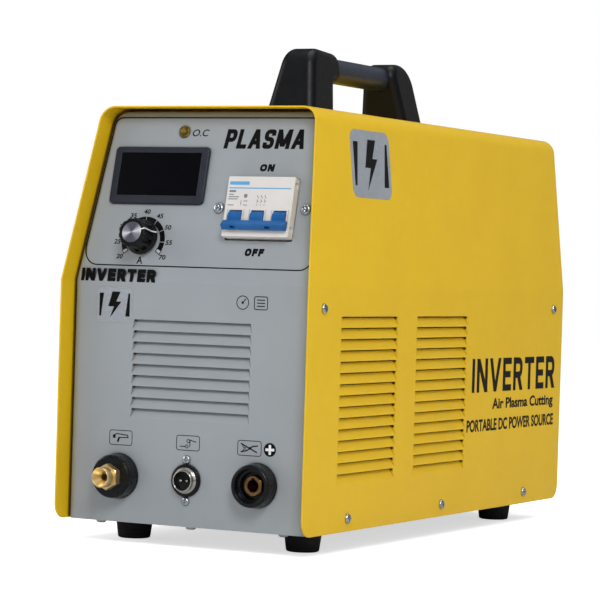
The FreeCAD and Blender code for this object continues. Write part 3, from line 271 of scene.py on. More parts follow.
def turned_brass():
    """Machined brass: fine rings from the lathe round the Y axis, and a warm tarnish."""
    look = Look("turned_brass", srgb(250, 224, 166), 0.33, 0.9)
    look.mottle(srgb(222, 184, 124), 6.0, 0.3).smudge(3.0, 0.03)
    look.edges(srgb(246, 220, 166), 0.3, 0.5, -0.05)
    wave = look.add("ShaderNodeTexWave", wave_type="BANDS", bands_direction="Y")
    wave.inputs["Scale"].default_value = 900.0
    wave.inputs["Distortion"].default_value = 0.6
    look.link(look.place, wave.inputs["Vector"])
    return look.relief(wave.outputs["Fac"], 0.0015).done()


def spun_disc():
    """Spun aluminium cap: fine rings, and a painted highlight of two opposite lighter wedge shapes, a bow
    tie that stays where it is as the cap turns."""
    look = Look("spun_aluminium", srgb(76, 77, 90), 0.36, 0.5)
    joint = JOINTS["knob_turn"]
    centre = look.vectors("SUBTRACT", look.add("ShaderNodeNewGeometry").outputs["Position"],
                          joint["pos_m"])
    around = look.vectors("NORMALIZE", look.vectors("CROSS_PRODUCT", centre, joint["axis"]))
    axis = Vector(joint["axis"])
    up = Vector((0.0, axis.z, -axis.y))
    # painted highlight: a soft lighter wedge and a bright one, tinted into the colour by direction
    painted_highlight_wedges = ((150.0, 14.0, srgb(140, 142, 158)), (14.0, 11.0, srgb(240, 240, 248)))
    for angle, sharpness, colour in painted_highlight_wedges:
        ray = Vector((math.cos(math.radians(angle)), 0, 0)) + up * math.sin(math.radians(angle))
        along = look.vectors("DOT_PRODUCT", around, ray.cross(axis), "Value")
        look.tint(colour, look.maths("POWER", look.maths("ABSOLUTE", along, 0.0), sharpness))
    length = look.vectors("LENGTH", centre, (0, 0, 0), "Value")
    rings = look.add("ShaderNodeTexNoise", noise_dimensions="1D")
    rings.inputs["Scale"].default_value = 6000.0
    look.link(length, rings.inputs["W"])
    look.tint(srgb(130, 132, 144), look.remap(rings.outputs["Fac"], 0.45, 0.75, 0.0, 0.25))
    look.link(around, look.shader.inputs["Tangent"])
    return look.relief(rings.outputs["Fac"], 0.001).smudge(2.0, 0.03).set(Anisotropic=0.7).done()


def smoked_window():
    look = Look("smoked_window", srgb(8, 8, 12), 0.07)
    look.mottle(srgb(11, 11, 16), 25.0, 0.5).smudge(18.0, 0.03)
    return look.set(Specular_IOR_Level=0.2).done()


def amber_lens():
    look = Look("amber_lens", srgb(150, 126, 40), 0.14)
    look.mottle(srgb(104, 82, 22), 1.6, 0.8).smudge(1.0, 0.04)
    return look.set(Transmission_Weight=0.35, IOR=1.5).done()


def circuit_board():
    """Solder mask with faint copper tracks under it."""
    look = Look("circuit_board", srgb(28, 92, 52), 0.35)
    brick = look.add("ShaderNodeTexBrick")
    brick.inputs["Scale"].default_value = 90.0
    brick.inputs["Mortar Size"].default_value = 0.03
    look.link(look.place, brick.inputs["Vector"])
    look.tint(srgb(64, 140, 80), look.remap(brick.outputs["Fac"], 0.0, 1.0, 0.0, 0.8))
    look.mottle(srgb(18, 74, 40), 12.0, 0.5).smudge(6.0, 0.05)
    return look.relief(brick.outputs["Fac"], 0.03).done()


def enamelled_wire():
    look = Look("enamelled_wire", srgb(96, 52, 26), 0.30, 0.7)
    wave = look.add("ShaderNodeTexWave", wave_type="BANDS", bands_direction="Z")
    wave.inputs["Scale"].default_value = 260.0
    look.link(look.place, wave.inputs["Vector"])
    look.mottle(srgb(58, 30, 16), 5.0, 0.7).smudge(2.0, 0.08)
    return look.relief(wave.outputs["Fac"], 0.35).done()


def ink(name, colour):
    """Screen-printed ink, a little uneven in colour, gloss and height."""
    look = Look(name, colour, 0.45)
    paler = tuple(min(1.0, channel * 1.2 + 0.002) for channel in colour[:3]) + (1.0,)
    look.mottle(paler, 1.5, 0.4).smudge(2.0, 0.06).grain(0.4, 0.003)
    return look.set(Specular_IOR_Level=0.15).done()


def silver_film():
    look = Look("silver_film", srgb(160, 166, 175), 0.42, 0.25)
    look.mottle(srgb(150, 156, 167), 18.0, 0.6).smudge(5.0, 0.06)
    look.tint(srgb(206, 212, 222), look.remap(look.noise(0.8, 2.0), 0.52, 0.72, 0.0, 0.6))
    return look.grain(0.5, 0.006, (1.0, 0.15, 1.0)).done()


LOOKS = {
    "yellow": yellow_coat(),
    "grey": grey_coat(),
    "zinc": zinc_sheet(),
    "handle": moulded("handle_nylon", srgb(10, 12, 17), srgb(20, 23, 31), 0.42, 0.6, 0.008, 0.8, 0.22),
    "tube": moulded("tube_coating", srgb(36, 43, 57), srgb(52, 61, 78), 0.34, 0.4, 0.003, 0.5, 0.4),
    "knob": moulded("knob_moulding", srgb(10, 10, 12), srgb(24, 24, 27), 0.30, 0.4, 0.003, 0.3),
    "slate": moulded("slate_moulding", srgb(36, 40, 50), srgb(54, 59, 72), 0.42, 0.6, 0.008, 0.5),
    "black": moulded("black_phenolic", srgb(7, 8, 12), srgb(24, 27, 34), 0.28, 0.5, 0.003, 0.6, 0.32),
    "matt": moulded("matt_black_moulding", srgb(24, 24, 26), srgb(46, 46, 48), 0.55, 0.6, 0.02, 0.5),
    "white": moulded("breaker_moulding", srgb(213, 209, 206), srgb(228, 226, 224), 0.38, 0.7, 0.006, 0.4),
    "blue": moulded("toggle_moulding", srgb(20, 88, 152), srgb(64, 128, 188), 0.38, 0.6, 0.006, 0.4),
    "sleeve": moulded("capacitor_sleeve", srgb(24, 34, 66), srgb(50, 62, 100), 0.28, 1.5, 0.01, 0.5),
    "ferrite": moulded("ferrite", srgb(52, 53, 56), srgb(78, 79, 82), 0.62, 0.4, 0.03, 0.5),
    "rubber": rubber("foot_rubber", srgb(26, 27, 30)),
    "cord": rubber("cord_rubber", srgb(30, 30, 32)),
    "screw": metal("bright_zinc", srgb(206, 212, 220), srgb(140, 148, 158), 0.24),
    "steel": metal("plain_steel", srgb(150, 152, 156), srgb(104, 106, 110), 0.34),
    "nickel": metal("nickel_plate", srgb(208, 206, 202), srgb(150, 148, 146), 0.20),
    "passivated": metal("yellow_passivate", srgb(172, 152, 78), srgb(112, 96, 42), 0.28),
    "alloy": metal("extruded_alloy", srgb(186, 188, 192), srgb(140, 142, 148), 0.38, 0.4, 0.8, 0.006),
    "brass": turned_brass(),
    "bronze": metal("dull_bronze", srgb(160, 124, 80), srgb(112, 80, 46), 0.30),
    "disc": spun_disc(),
    "window": smoked_window(),
    "lens": amber_lens(),
    "board": circuit_board(),
    "wire": enamelled_wire(),
    "black_ink": ink("black_ink", srgb(7, 7, 9)),
    "white_ink": ink("white_ink", srgb(226, 227, 230)),
    "pale_ink": ink("pale_ink", srgb(178, 183, 188)),
    "grey_ink": ink("grey_ink", srgb(120, 126, 134)),
    "blue_ink": ink("blue_ink", srgb(96, 160, 206)),
    "silver": silver_film(),
}

FINISHES = {
    "yellow": ["top_cover"],
    "grey": ["front_panel", "rear_panel"],
    "zinc": ["base_pan", "breaker_bracket"],
    "rubber": ["rubber_feet"],
    "cord": ["mains_cord", "gas_hose"],
    "screw": ["foot_screws", "cover_screws", "base_screws", "handle_screws", "breaker_screws",
              "control_socket_screws", "fan_screws", "board_standoffs"],
    "handle": ["handle_front_post", "handle_rear_post"],
    "tube": ["handle_tube"],
    "knob": ["control_knob"],
    "disc": ["knob_cap"],
    "steel": ["potentiometer_shaft", "potentiometer_nut", "gas_valve_plunger", "gas_valve_spring",
              "earth_stud"],
    "matt": ["potentiometer_body", "fan_frame", "fan_rotor", "cable_gland", "gas_valve_body",
             "power_transistors", "bridge_rectifier", "control_socket_insert", "display_digits"],
    "lens": ["status_led"],
    "passivated": ["led_holder"],
    "slate": ["display_bezel"],
    "window": ["display_window"],
    "board": ["display_board", "power_board"],
    "white": ["breaker_body"],
    "blue": ["breaker_toggle"],
    "black": ["torch_socket_flange", "clamp_socket_flange", "socket_washers",
              "control_socket_gasket"],
    "brass": ["torch_fitting", "socket_nuts", "gas_inlet"],
    "bronze": ["clamp_socket_insert"],
    "nickel": ["control_socket_shell", "control_socket_pins", "fan_guard"],
    "alloy": ["heatsinks"],
    "sleeve": ["bulk_capacitors"],
    "ferrite": ["transformer_core"],
    "wire": ["transformer_windings", "output_inductor", "output_busbar"],
}


def added(name, data):
    """A new object that holds data, linked to the scene."""
    thing = bpy.data.objects.new(name, data)
    bpy.context.scene.collection.objects.link(thing)
    return thing


def finish_nodes():
    for look, nodes in FINISHES.items():
        for node in nodes:
            mesh = NODES[node].data
            mesh.materials.clear()
            mesh.materials.append(LOOKS[look])


def valve_spring():
    """The gas valve's spring as a piece of its own, because it shortens as the plunger lifts."""
    spring = added("valve_spring", NODES["gas_valve_spring"].data.copy())
    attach(spring, "case")
    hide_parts("gas_valve_spring")
    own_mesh(spring)


# Places on the case. Each gives a matrix at a point of a surface: X right, Y up it, Z out of it.

def facing(origin, right, up):
    out = Vector(right).cross(Vector(up))
    matrix = Matrix((Vector(right), Vector(up), out)).transposed().to_4x4()
    matrix.translation = origin
    return matrix


KNOB_POINT = Vector(JOINTS["knob_turn"]["pos_m"])
SLOPE_OUT = Vector(JOINTS["knob_turn"]["axis"]).normalized()
SLOPE_UP = Vector((0.0, SLOPE_OUT.z, -SLOPE_OUT.y))
KNOB_REST = 17.0         # pointer angle at rest, anticlockwise from the right
TOGGLE_PIVOT = Vector(JOINTS["breaker_switch"]["pos_m"])
BREAKER_FACE_POINT = TOGGLE_PIVOT + 0.008 * SLOPE_UP + 0.003 * SLOPE_OUT


def on_slope(x, z):
    """Point of the sloped panel at x and height z, in millimetres."""
    rise = z * MM - KNOB_POINT.z
    y = KNOB_POINT.y + rise * SLOPE_UP.y / SLOPE_UP.z
    return facing((x * MM, y, z * MM), (1, 0, 0), SLOPE_UP)


def on_front(x, z):
    return facing((x * MM, PANEL_LOW.y, z * MM), (1, 0, 0), (0, 0, 1))


def on_side(side, depth, z):
    """Point of the right (1) or left (-1) lower wall, depth behind the cover's front edge."""
    y = COVER_LOW.y + depth * MM
    return facing((side * COVER_HIGH.x, y, z * MM), (0, side, 0), (0, 0, 1))


def on_lean(side, depth, z):
    """Point of the leaning upper wall."""
    lean = (COVER_HIGH.x - TOP_HALF_WIDTH) / (COVER_HIGH.z - KINK_Z)
    x = COVER_HIGH.x - (z * MM - KINK_Z) * lean
    up = Vector((-side * lean, 0, 1)).normalized()
    return facing((side * x, COVER_LOW.y + depth * MM, z * MM), (0, side, 0), up)


# Flat shapes, in millimetres

def circle(radius, count=48, x=0.0, y=0.0):
    return arc(radius, 0, 360 - 360 / count, count, x, y)


def arc(radius, start, end, count, x=0.0, y=0.0):
    angles = [math.radians(start + (end - start) * i / (count - 1)) for i in range(count)]
    return [(x + radius * math.cos(a), y + radius * math.sin(a)) for a in angles]


def rounded(width, height, radius, x=0.0, y=0.0):
    """Outline of a rectangle with rounded corners."""
    w = width / 2 - radius
    h = height / 2 - radius
    points = []
    for cx, cy, start in ((w, h, 0), (-w, h, 90), (-w, -h, 180), (w, -h, 270)):
        points += arc(radius, start, start + 90, 7, x + cx, y + cy)
    return points


def ribbon(points, width, closed=False):
    """Faces of a line of one width along points, mitred at its corners."""
    count = len(points)
    sides = []
    for i in range(count):
        here = Vector(points[i])
        before = Vector(points[i - 1]) if closed or i > 0 else here
        after = Vector(points[(i + 1) % count]) if closed or i + 1 < count else here
        first = (here - before).normalized()
        second = (after - here).normalized()
        if not first.length:
            first = second
        if not second.length:
            second = first
        mean = (first + second).normalized()
        across = Vector((-mean.y, mean.x)) * (width / 2 / max(0.3, mean.dot(second)))
        sides.append((here + across, here - across))
    spans = range(count if closed else count - 1)
    return [[sides[i][0], sides[i][1], sides[(i + 1) % count][1], sides[(i + 1) % count][0]]
            for i in spans]


def solid_piece(bm, name, place, look):
    """Turn the closed surface in a bmesh into a piece at its place."""
    bmesh.ops.recalc_face_normals(bm, faces=bm.faces[:])
    bmesh.ops.transform(bm, matrix=place, verts=bm.verts[:])
    mesh = bpy.data.meshes.new(name)
    bm.to_mesh(mesh)
    bm.free()
    mesh.materials.append(LOOKS[look])
    return added(name, mesh)


def flat_piece(bm, name, place, look, lift, thick):
    """Turn the flat faces in a bmesh into a thin closed piece, lifted off its place."""
    bmesh.ops.remove_doubles(bm, verts=bm.verts[:], dist=1e-7)
    made = bmesh.ops.extrude_face_region(bm, geom=bm.faces[:], use_keep_orig=True)
    raised = [item for item in made["geom"] if isinstance(item, bmesh.types.BMVert)]
    bmesh.ops.translate(bm, verts=raised, vec=(0, 0, thick * MM))
    return solid_piece(bm, name, place @ Matrix.Translation((0, 0, lift * MM)), look)


def marks(name, faces, place, look, lift=INK_LIFT, thick=INK_THICK):
    """Flat printed shapes as one piece. A point may carry its own height above the others."""
    bm = bmesh.new()
    for face in faces:
        bm.faces.new([bm.verts.new(Vector(point).to_3d() * MM) for point in face])
    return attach(flat_piece(bm, name, place, look, lift, thick), "case")


def words(name, text, place, width, height, bold, slant=0.0):
    """Lettering fitted to a width and height and centred on its place."""
    curve = bpy.data.curves.new(name, "FONT")
    curve.body = text
    curve.offset = bold
    curve.shear = slant
    curve.resolution_u = 6
    holder = added(name + "_curve", curve)
    graph = bpy.context.evaluated_depsgraph_get()
    flat = bpy.data.meshes.new_from_object(holder.evaluated_get(graph))
    bpy.data.objects.remove(holder)
    bm = bmesh.new()
    bm.from_mesh(flat)
    xs = [v.co.x for v in bm.verts]
    ys = [v.co.y for v in bm.verts]
    middle = Vector(((min(xs) + max(xs)) / 2, (min(ys) + max(ys)) / 2, 0))
    scale = Vector((width * MM / (max(xs) - min(xs)), height * MM / (max(ys) - min(ys)), 1))
    bmesh.ops.translate(bm, verts=bm.verts[:], vec=-middle)
    bmesh.ops.scale(bm, verts=bm.verts[:], vec=scale)
    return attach(flat_piece(bm, name, place, "black_ink", INK_LIFT, INK_THICK), "case")


# Heavy capitals drawn with strokes on a grid one unit high. A stroke is its points and the radius
# of its corners, and it is closed where it ends on its first point.

LETTERS = {
    "A": (0.80, [([(0, 0), (0.4, 1)], 0), ([(0.8, 0), (0.4, 1)], 0), ([(0.15, 0.27), (0.65, 0.27)], 0)]),
    "E": (0.55, [([(0.55, 1), (0, 1), (0, 0), (0.55, 0)], 0), ([(0, 0.5), (0.48, 0.5)], 0)]),
    "F": (0.55, [([(0.55, 1), (0, 1), (0, 0)], 0), ([(0, 0.5), (0.48, 0.5)], 0)]),
    "I": (0.0, [([(0, 0), (0, 1)], 0)]),
    "L": (0.52, [([(0, 1), (0, 0), (0.52, 0)], 0)]),
    "M": (0.96, [([(0, 0), (0, 1)], 0), ([(0, 1), (0.48, 0.15)], 0), ([(0.96, 1), (0.48, 0.15)], 0),
                 ([(0.96, 0), (0.96, 1)], 0)]),
    "N": (0.72, [([(0, 0), (0, 1)], 0), ([(0, 1), (0.72, 0)], 0), ([(0.72, 0), (0.72, 1)], 0)]),
    "O": (0.78, [([(0, 0), (0.78, 0), (0.78, 1), (0, 1), (0, 0)], 0.38)]),
    "P": (0.62, [([(0, 0), (0, 1)], 0), ([(0, 1), (0.62, 1), (0.62, 0.44), (0, 0.44)], 0.27)]),
    "R": (0.64, [([(0, 0), (0, 1)], 0), ([(0, 1), (0.62, 1), (0.62, 0.46), (0, 0.46)], 0.26),
                 ([(0.3, 0.46), (0.64, 0)], 0)]),
    "S": (0.62, [([(0.62, 0.86), (0.62, 1), (0, 1), (0, 0.52), (0.62, 0.48), (0.62, 0), (0, 0),
                   (0, 0.14)], 0.24)]),
    "T": (0.66, [([(0, 1), (0.66, 1)], 0), ([(0.33, 0), (0.33, 1)], 0)]),
    "V": (0.78, [([(0, 1), (0.39, 0)], 0), ([(0.78, 1), (0.39, 0)], 0)]),
}


def softened(points, radius, closed=False):
    """A path with its corners rounded off, up to half of each side."""
    steps = (0, 0.17, 0.33, 0.5, 0.67, 0.83, 1)
    path = []
    count = len(points)
    for i, point in enumerate(points):
        here = Vector(point)
        if radius == 0 or not closed and i in (0, count - 1):
            path.append(here)
            continue
        back = Vector(points[i - 1]) - here
        ahead = Vector(points[(i + 1) % count]) - here
        back *= min(radius, back.length / 2) / back.length
        ahead *= min(radius, ahead.length / 2) / ahead.length
        path += [here + back * (1 - t) ** 2 + ahead * t ** 2 for t in steps]
    return path


def capitals(name, text, place, width, height, weight, slant=0.0, gap=0.16):
    """Heavy lettering of one stroke width, fitted to a width and height and centred on its place."""
    tall = height - weight
    total = sum(LETTERS[letter][0] for letter in text)
    clear = gap * height + weight
    across = (width - weight - slant * height - clear * (len(text) - 1)) / total
    faces = []
    left = -width / 2 + weight / 2
    for letter in text:
        for layer, (points, radius) in enumerate(LETTERS[letter][1]):
            closed = points[0] == points[-1]
            corners = softened(points[:-1] if closed else points, radius, closed)
            path = [Vector((left + x * across, (y - 0.5) * tall)) for x, y in corners]
            if len(path) == 2 and path[0].y != path[1].y:
                stroke = [level_ended(path, weight)]
            else:
                if not closed:
                    path[0] += (path[0] - path[1]).normalized() * weight / 2
                    path[-1] += (path[-1] - path[-2]).normalized() * weight / 2
                stroke = ribbon(path, weight, closed)
            faces += [[(x + slant * y, y, layer * STROKE_STEP) for x, y in face] for face in stroke]
        left += LETTERS[letter][0] * across + clear
    return marks(name, faces, place, "black_ink")


def level_ended(path, weight):
    """One straight stroke cut off level at its top and foot."""
    foot, top = sorted(path, key=lambda point: point.y)
    half = weight / 2 * (top - foot).length / (top.y - foot.y)
    low = foot.y - weight / 2
    high = top.y + weight / 2
    return [(foot.x - half, low), (foot.x + half, low), (top.x + half, high), (top.x - half, high)]


# Stage

FLOOR_REACH = 6.0        # metres each way
FLOOR_GLOW = 0.62        # the camera sees the floor this much brighter, as a white sweep
EVEN_LIGHT = 0.42        # strength of the light from all sides
MIRRORED_DARK = 0.07     # what shiny parts mirror between the bright patches
MIRRORED_PATCHES = (     # direction, where each patch starts and is full, and its strength
    (0.2, -0.3, 1.0, 0.55, 0.95, 0.55),
    (-1.0, -0.55, 0.25, 0.86, 0.95, 0.7),
    (1.0, -0.9, 0.55, 0.90, 0.97, 0.9),
    (0.3, 1.0, 0.2, 0.75, 0.95, 0.3),
)


def stage():
    mesh = bpy.data.meshes.new("floor")
    reach = FLOOR_REACH
    corners = [(-reach, -reach, 0), (reach, -reach, 0), (reach, reach, 0), (-reach, reach, 0)]
    mesh.from_pydata([Vector(c) for c in corners], [], [(0, 1, 2, 3)])
    floor = added("floor", mesh)
    look = Look("pale_floor", (0.98, 0.98, 0.98, 1.0), 0.9).smudge(200.0, 0.05)
    ray = look.add("ShaderNodeLightPath").outputs
    look.tint((0.5, 0.5, 0.5, 1.0), ray["Is Glossy Ray"])
    glow = look.maths("MULTIPLY", ray["Is Camera Ray"], FLOOR_GLOW)
    look.link(glow, look.shader.inputs["Emission Strength"])
    look.set(Emission_Color=(1.0, 1.0, 1.0, 1.0), Specular_IOR_Level=0.0)
    mesh.materials.append(look.done())


CASE_MIDDLE = (0.0, 0.0, 0.18)
SOFT_BOXES = (           # name, place and size in metres, power in watts
    ("key", (1.4, -2.0, 1.8), (0.9, 0.9), 37.0),
    ("fill", (-1.9, -0.9, 0.9), (0.9, 1.0), 10.0),
    ("top", (0.1, 0.2, 2.2), (1.2, 1.2), 16.0),
)


def area_light(name, place, target, size, power):
    data = bpy.data.lights.new(name, "AREA")
    data.shape = "RECTANGLE"
    data.size, data.size_y = size
    data.energy = power
    light = added(name, data)
    light.location = place
    light.rotation_euler = (Vector(target) - Vector(place)).to_track_quat("-Z", "Y").to_euler()


def toward(tree, direction, x, y, z, start, end):
    """Mask that is 1 where a direction lies near (x, y, z)."""
    dot = tree.nodes.new("ShaderNodeVectorMath")
    dot.operation = "DOT_PRODUCT"
    tree.links.new(direction, dot.inputs[0])
    dot.inputs[1].default_value = Vector((x, y, z)).normalized()
    spread = tree.nodes.new("ShaderNodeMapRange")
    spread.interpolation_type = "SMOOTHSTEP"
    spread.inputs["From Min"].default_value = start
    spread.inputs["From Max"].default_value = end
    tree.links.new(dot.outputs["Value"], spread.inputs["Value"])
    return spread.outputs[0]


def studio_world():
    """White backdrop and even light, with darker surroundings for things that mirror them."""
    world = bpy.data.worlds.new("studio")
    world.use_nodes = True
    tree = world.node_tree
    even = tree.nodes["Background"]
    even.inputs["Color"].default_value = (1.0, 1.0, 1.0, 1.0)
    even.inputs["Strength"].default_value = EVEN_LIGHT
    direction = tree.nodes.new("ShaderNodeTexCoord").outputs["Generated"]
    glow = tree.nodes.new("ShaderNodeValue").outputs[0]
    glow.default_value = MIRRORED_DARK
    for x, y, z, start, end, power in MIRRORED_PATCHES:
        spot = tree.nodes.new("ShaderNodeMath")
        spot.operation = "MULTIPLY_ADD"
        tree.links.new(toward(tree, direction, x, y, z, start, end), spot.inputs[0])
        spot.inputs[1].default_value = power
        tree.links.new(glow, spot.inputs[2])
        glow = spot.outputs[0]
    mirrored = tree.nodes.new("ShaderNodeBackground")
    tree.links.new(glow, mirrored.inputs["Strength"])
    backdrop = tree.nodes.new("ShaderNodeBackground")
    backdrop.inputs["Color"].default_value = (1.0, 1.0, 1.0, 1.0)
    backdrop.inputs["Strength"].default_value = 1.0
    path = tree.nodes.new("ShaderNodeLightPath")
    shader = even.outputs[0]
    for mask, other in (("Is Glossy Ray", mirrored), ("Is Camera Ray", backdrop)):
        mix = tree.nodes.new("ShaderNodeMixShader")
        tree.links.new(path.outputs[mask], mix.inputs[0])
        tree.links.new(shader, mix.inputs[1])
        tree.links.new(other.outputs[0], mix.inputs[2])
        shader = mix.outputs[0]
    tree.links.new(shader, tree.nodes["World Output"].inputs["Surface"])
    bpy.context.scene.world = world


def lights():
    studio_world()
    for name, place, size, power in SOFT_BOXES:
        area_light(name, place, CASE_MIDDLE, size, power)
    bpy.context.scene.view_settings.view_transform = "Standard"


CAMERA_LENS = 161.94     # millimetres, on a 36 mm sensor
CAMERA_TURN = (27.29, -0.63, 1.75)          # yaw, pitch and roll in degrees
CAMERA_X = 0.9615        # metres to the right of the case's middle
CAMERA_BACK = 1.9173     # metres in front of it
CAMERA_Z = 0.2037        # metres above the floor


def camera():
    """Three-quarter view from low on the right."""
    data = bpy.data.cameras.new("camera")
    data.sensor_width = 36.0
    data.lens = CAMERA_LENS
    data.clip_end = 50.0
    yaw, pitch, roll = [math.radians(angle) for angle in CAMERA_TURN]
    ahead = Vector((-math.sin(yaw) * math.cos(pitch), math.cos(yaw) * math.cos(pitch),
                    math.sin(pitch)))
    right = Vector((math.cos(yaw), math.sin(yaw), 0.0))
    up = right.cross(ahead)
    level = math.cos(roll) * right + math.sin(roll) * up
    above = -math.sin(roll) * right + math.cos(roll) * up
    view = added("camera", data)
    matrix = Matrix((level, above, -ahead)).transposed().to_4x4()
    middle_y = (COVER_LOW.y + COVER_HIGH.y) / 2
    matrix.translation = (CAMERA_X, middle_y - CAMERA_BACK, CAMERA_Z)
    view.matrix_world = matrix
    bpy.context.scene.camera = view


# Printed marks

DIAL_X, DIAL_Z = -46.0, 222.0
DIAL_LABELS = (20, 25, 30, 35, 40, 45, 50, 55, 70)
DIAL_START = 214.0       # angle of the lowest setting, anticlockwise from the right
DIAL_STEP = 31.0
DIAL_INNER, DIAL_OUTER = 14.0, 18.0
DIAL_LABEL_R = 21.8


def panel_frame():
    """Thin frame line round the controls, following the slope of the panel's sides."""
    top, bottom = 313.0, 203.5
    base = on_slope(0, bottom)
    tall = (top - bottom) / SLOPE_UP.z
    corners = [(-84.0, tall), (85.5, tall), (96.0, 9.0), (90.0, 0), (-88.0, 0), (-94.5, 9.0)]
    marks("panel_frame_line", ribbon(softened(corners, 6.0, True), 0.9, True), base, "black_ink")


def panel_words():
    words("label_lamp", "O.C", on_slope(-10.5, 301.8), 13.7, 5.2, 0.008, slant=0.2)
    capitals("label_type", "PLASMA", on_slope(44.6, 297.5), 67.5, 14.6, 3.2, slant=0.14, gap=0.10)
    capitals("label_on", "ON", on_slope(48.7, 276.6), 12.4, 5.4, 1.75, slant=0.15)
    capitals("label_off", "OFF", on_slope(47.7, 215.4), 16.0, 5.6, 1.75, slant=0.15)


def sector(start, end, inner, outer):
    """Faces of a ring segment between two angles."""
    steps = max(2, int(abs(end - start) / 3) + 1)
    low = arc(inner, start, end, steps)
    high = arc(outer, start, end, steps)
    return [[low[i], high[i], high[i + 1], low[i + 1]] for i in range(steps - 1)]


def dial():
    """Scale round the knob: black segments, an open block at each end, and numbers."""
    place = on_slope(DIAL_X, DIAL_Z)
    gap = 1.1
    block = 10.0
    angles = [DIAL_START - i * DIAL_STEP for i in range(len(DIAL_LABELS))]
    faces = []
    for i in range(len(angles) - 1):
        start = angles[i] - (block if i == 0 else gap)
        end = angles[i + 1] + (block if i == len(angles) - 2 else gap)
        faces += sector(start, end, DIAL_INNER, DIAL_OUTER)
    blocks = []
    for angle, turn in ((angles[0], -1), (angles[-1], 1)):
        near = angle + turn * (block - 0.4)
        corners = arc(DIAL_INNER, angle, near, 5) + arc(DIAL_OUTER, near, angle, 5)
        blocks.append(corners)
        faces += ribbon(corners, 0.6, True)
    marks("dial_scale", faces, place, "black_ink", lift=0.05)
    marks("dial_end_blocks", blocks, place, "pale_ink", lift=0.01, thick=0.03)
    for label, angle in zip(DIAL_LABELS, angles):
        x = DIAL_LABEL_R * math.cos(math.radians(angle))
        y = DIAL_LABEL_R * math.sin(math.radians(angle))
        at = place @ Matrix.Translation((x * MM, y * MM, 0))
        words("dial_%d" % label, str(label), at, 5.5, 3.5, 0.022, slant=0.12)
    words("dial_amps", "A", on_slope(-46.6, 207.6), 5.0, 5.4, 0.02)


def knob_pointer():
    """White line over the knob's rim, down its side and across its skirt."""
    lift = 0.12
    path = [(8.0, 18.15), (10.5, 18.15), (11.1, 17.4), (11.3, 9.0), (11.5, 7.0), (12.0, 5.4),
            (12.7, 4.3), (13.15, 3.6)]
    frame_at_knob = facing(KNOB_POINT, (1, 0, 0), SLOPE_UP)
    place = frame_at_knob @ Matrix.Rotation(math.radians(KNOB_REST), 4, "Z")
    half = 0.36
    bm = bmesh.new()
    rows = []
    for i, (radius, height) in enumerate(path):
        before = Vector(path[max(0, i - 1)])
        after = Vector(path[min(len(path) - 1, i + 1)])
        along = (after - before).normalized()
        out = Vector((-along.y, along.x))
        low = Vector((radius, height)) - out * 0.1
        high = Vector((radius, height)) + out * lift
        rows.append([bm.verts.new((r * MM, side * half * MM, h * MM))
                     for r, h in (low, high) for side in (-1, 1)])
    for a, b in zip(rows, rows[1:]):
        for m, n in ((0, 1), (1, 3), (3, 2), (2, 0)):
            bm.faces.new((a[m], a[n], b[n], b[m]))
    for row in (rows[0], rows[-1]):
        bm.faces.new((row[0], row[1], row[3], row[2]))
    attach(solid_piece(bm, "knob_pointer", place, "white_ink"), "knob")


BOLT = [(-2.2, 10.0), (5.0, 10.0), (1.4, 2.4), (6.0, 2.4), (-4.2, -10.6), (-0.6, -1.4), (-5.6, -1.4)]


def bolt(scale, x=0.0, y=0.0):
    return [(x + px * scale, y + py * scale) for px, py in BOLT]


def decal(name, place, width, height):
    """Silver film badge with a bolt between two swept bars."""
    film = rounded(width, height, height * 0.16)
    marks(name + "_film", [film], place, "silver", lift=0.02, thick=0.08)
    size = height / 25.0
    edge = [(-0.5, 0.5), (-0.16, 0.5), (-0.36, -0.5), (-0.5, -0.5)]
    bars = [[(x * width * 0.84, y * height * 0.72) for x, y in edge],
            [(-x * width * 0.84, -y * height * 0.72) for x, y in edge]]
    inside = [bolt(size * 0.92)] + [[(x * 0.42 + s * width * 0.255, y * 0.9) for x, y in bar]
                                    for bar, s in zip(bars, (-1, 1))]
    marks(name + "_bolt", inside, place, "black_ink", lift=0.11, thick=0.04)


def badges():
    decal("front_badge", on_front(-64.5, 174.5), 30.0, 26.0)
    capitals("front_word", "INVERTER", on_front(-61.6, 196.2), 64.0, 9.4, 2.6, slant=0.1, gap=0.12)
    for side in (-1, 1):
        hand = "right" if side > 0 else "left"
        decal("badge_" + hand, on_lean(side, 112.0, 283.0), 66.0, 50.0)
        capitals("side_word_" + hand, "INVERTER", on_side(side, 375.0, 124.0), 174.0, 27.0, 5.2)
        line, note = on_side(side, 395.0, 99.5), on_side(side, 371.0, 84.0)
        words("side_line_" + hand, "Air Plasma Cutting", line, 130.0, 11.4, 0.032)
        words("side_note_" + hand, "PORTABLE DC POWER SOURCE", note, 182.0, 9.8, 0.032)


def icon_frame(name, x, z):
    """Rounded frame of one socket's pictogram."""
    place = on_front(x, z)
    marks(name + "_frame", ribbon(rounded(19.0, 10.6, 1.8), 0.5, True), place, "black_ink")
    return place


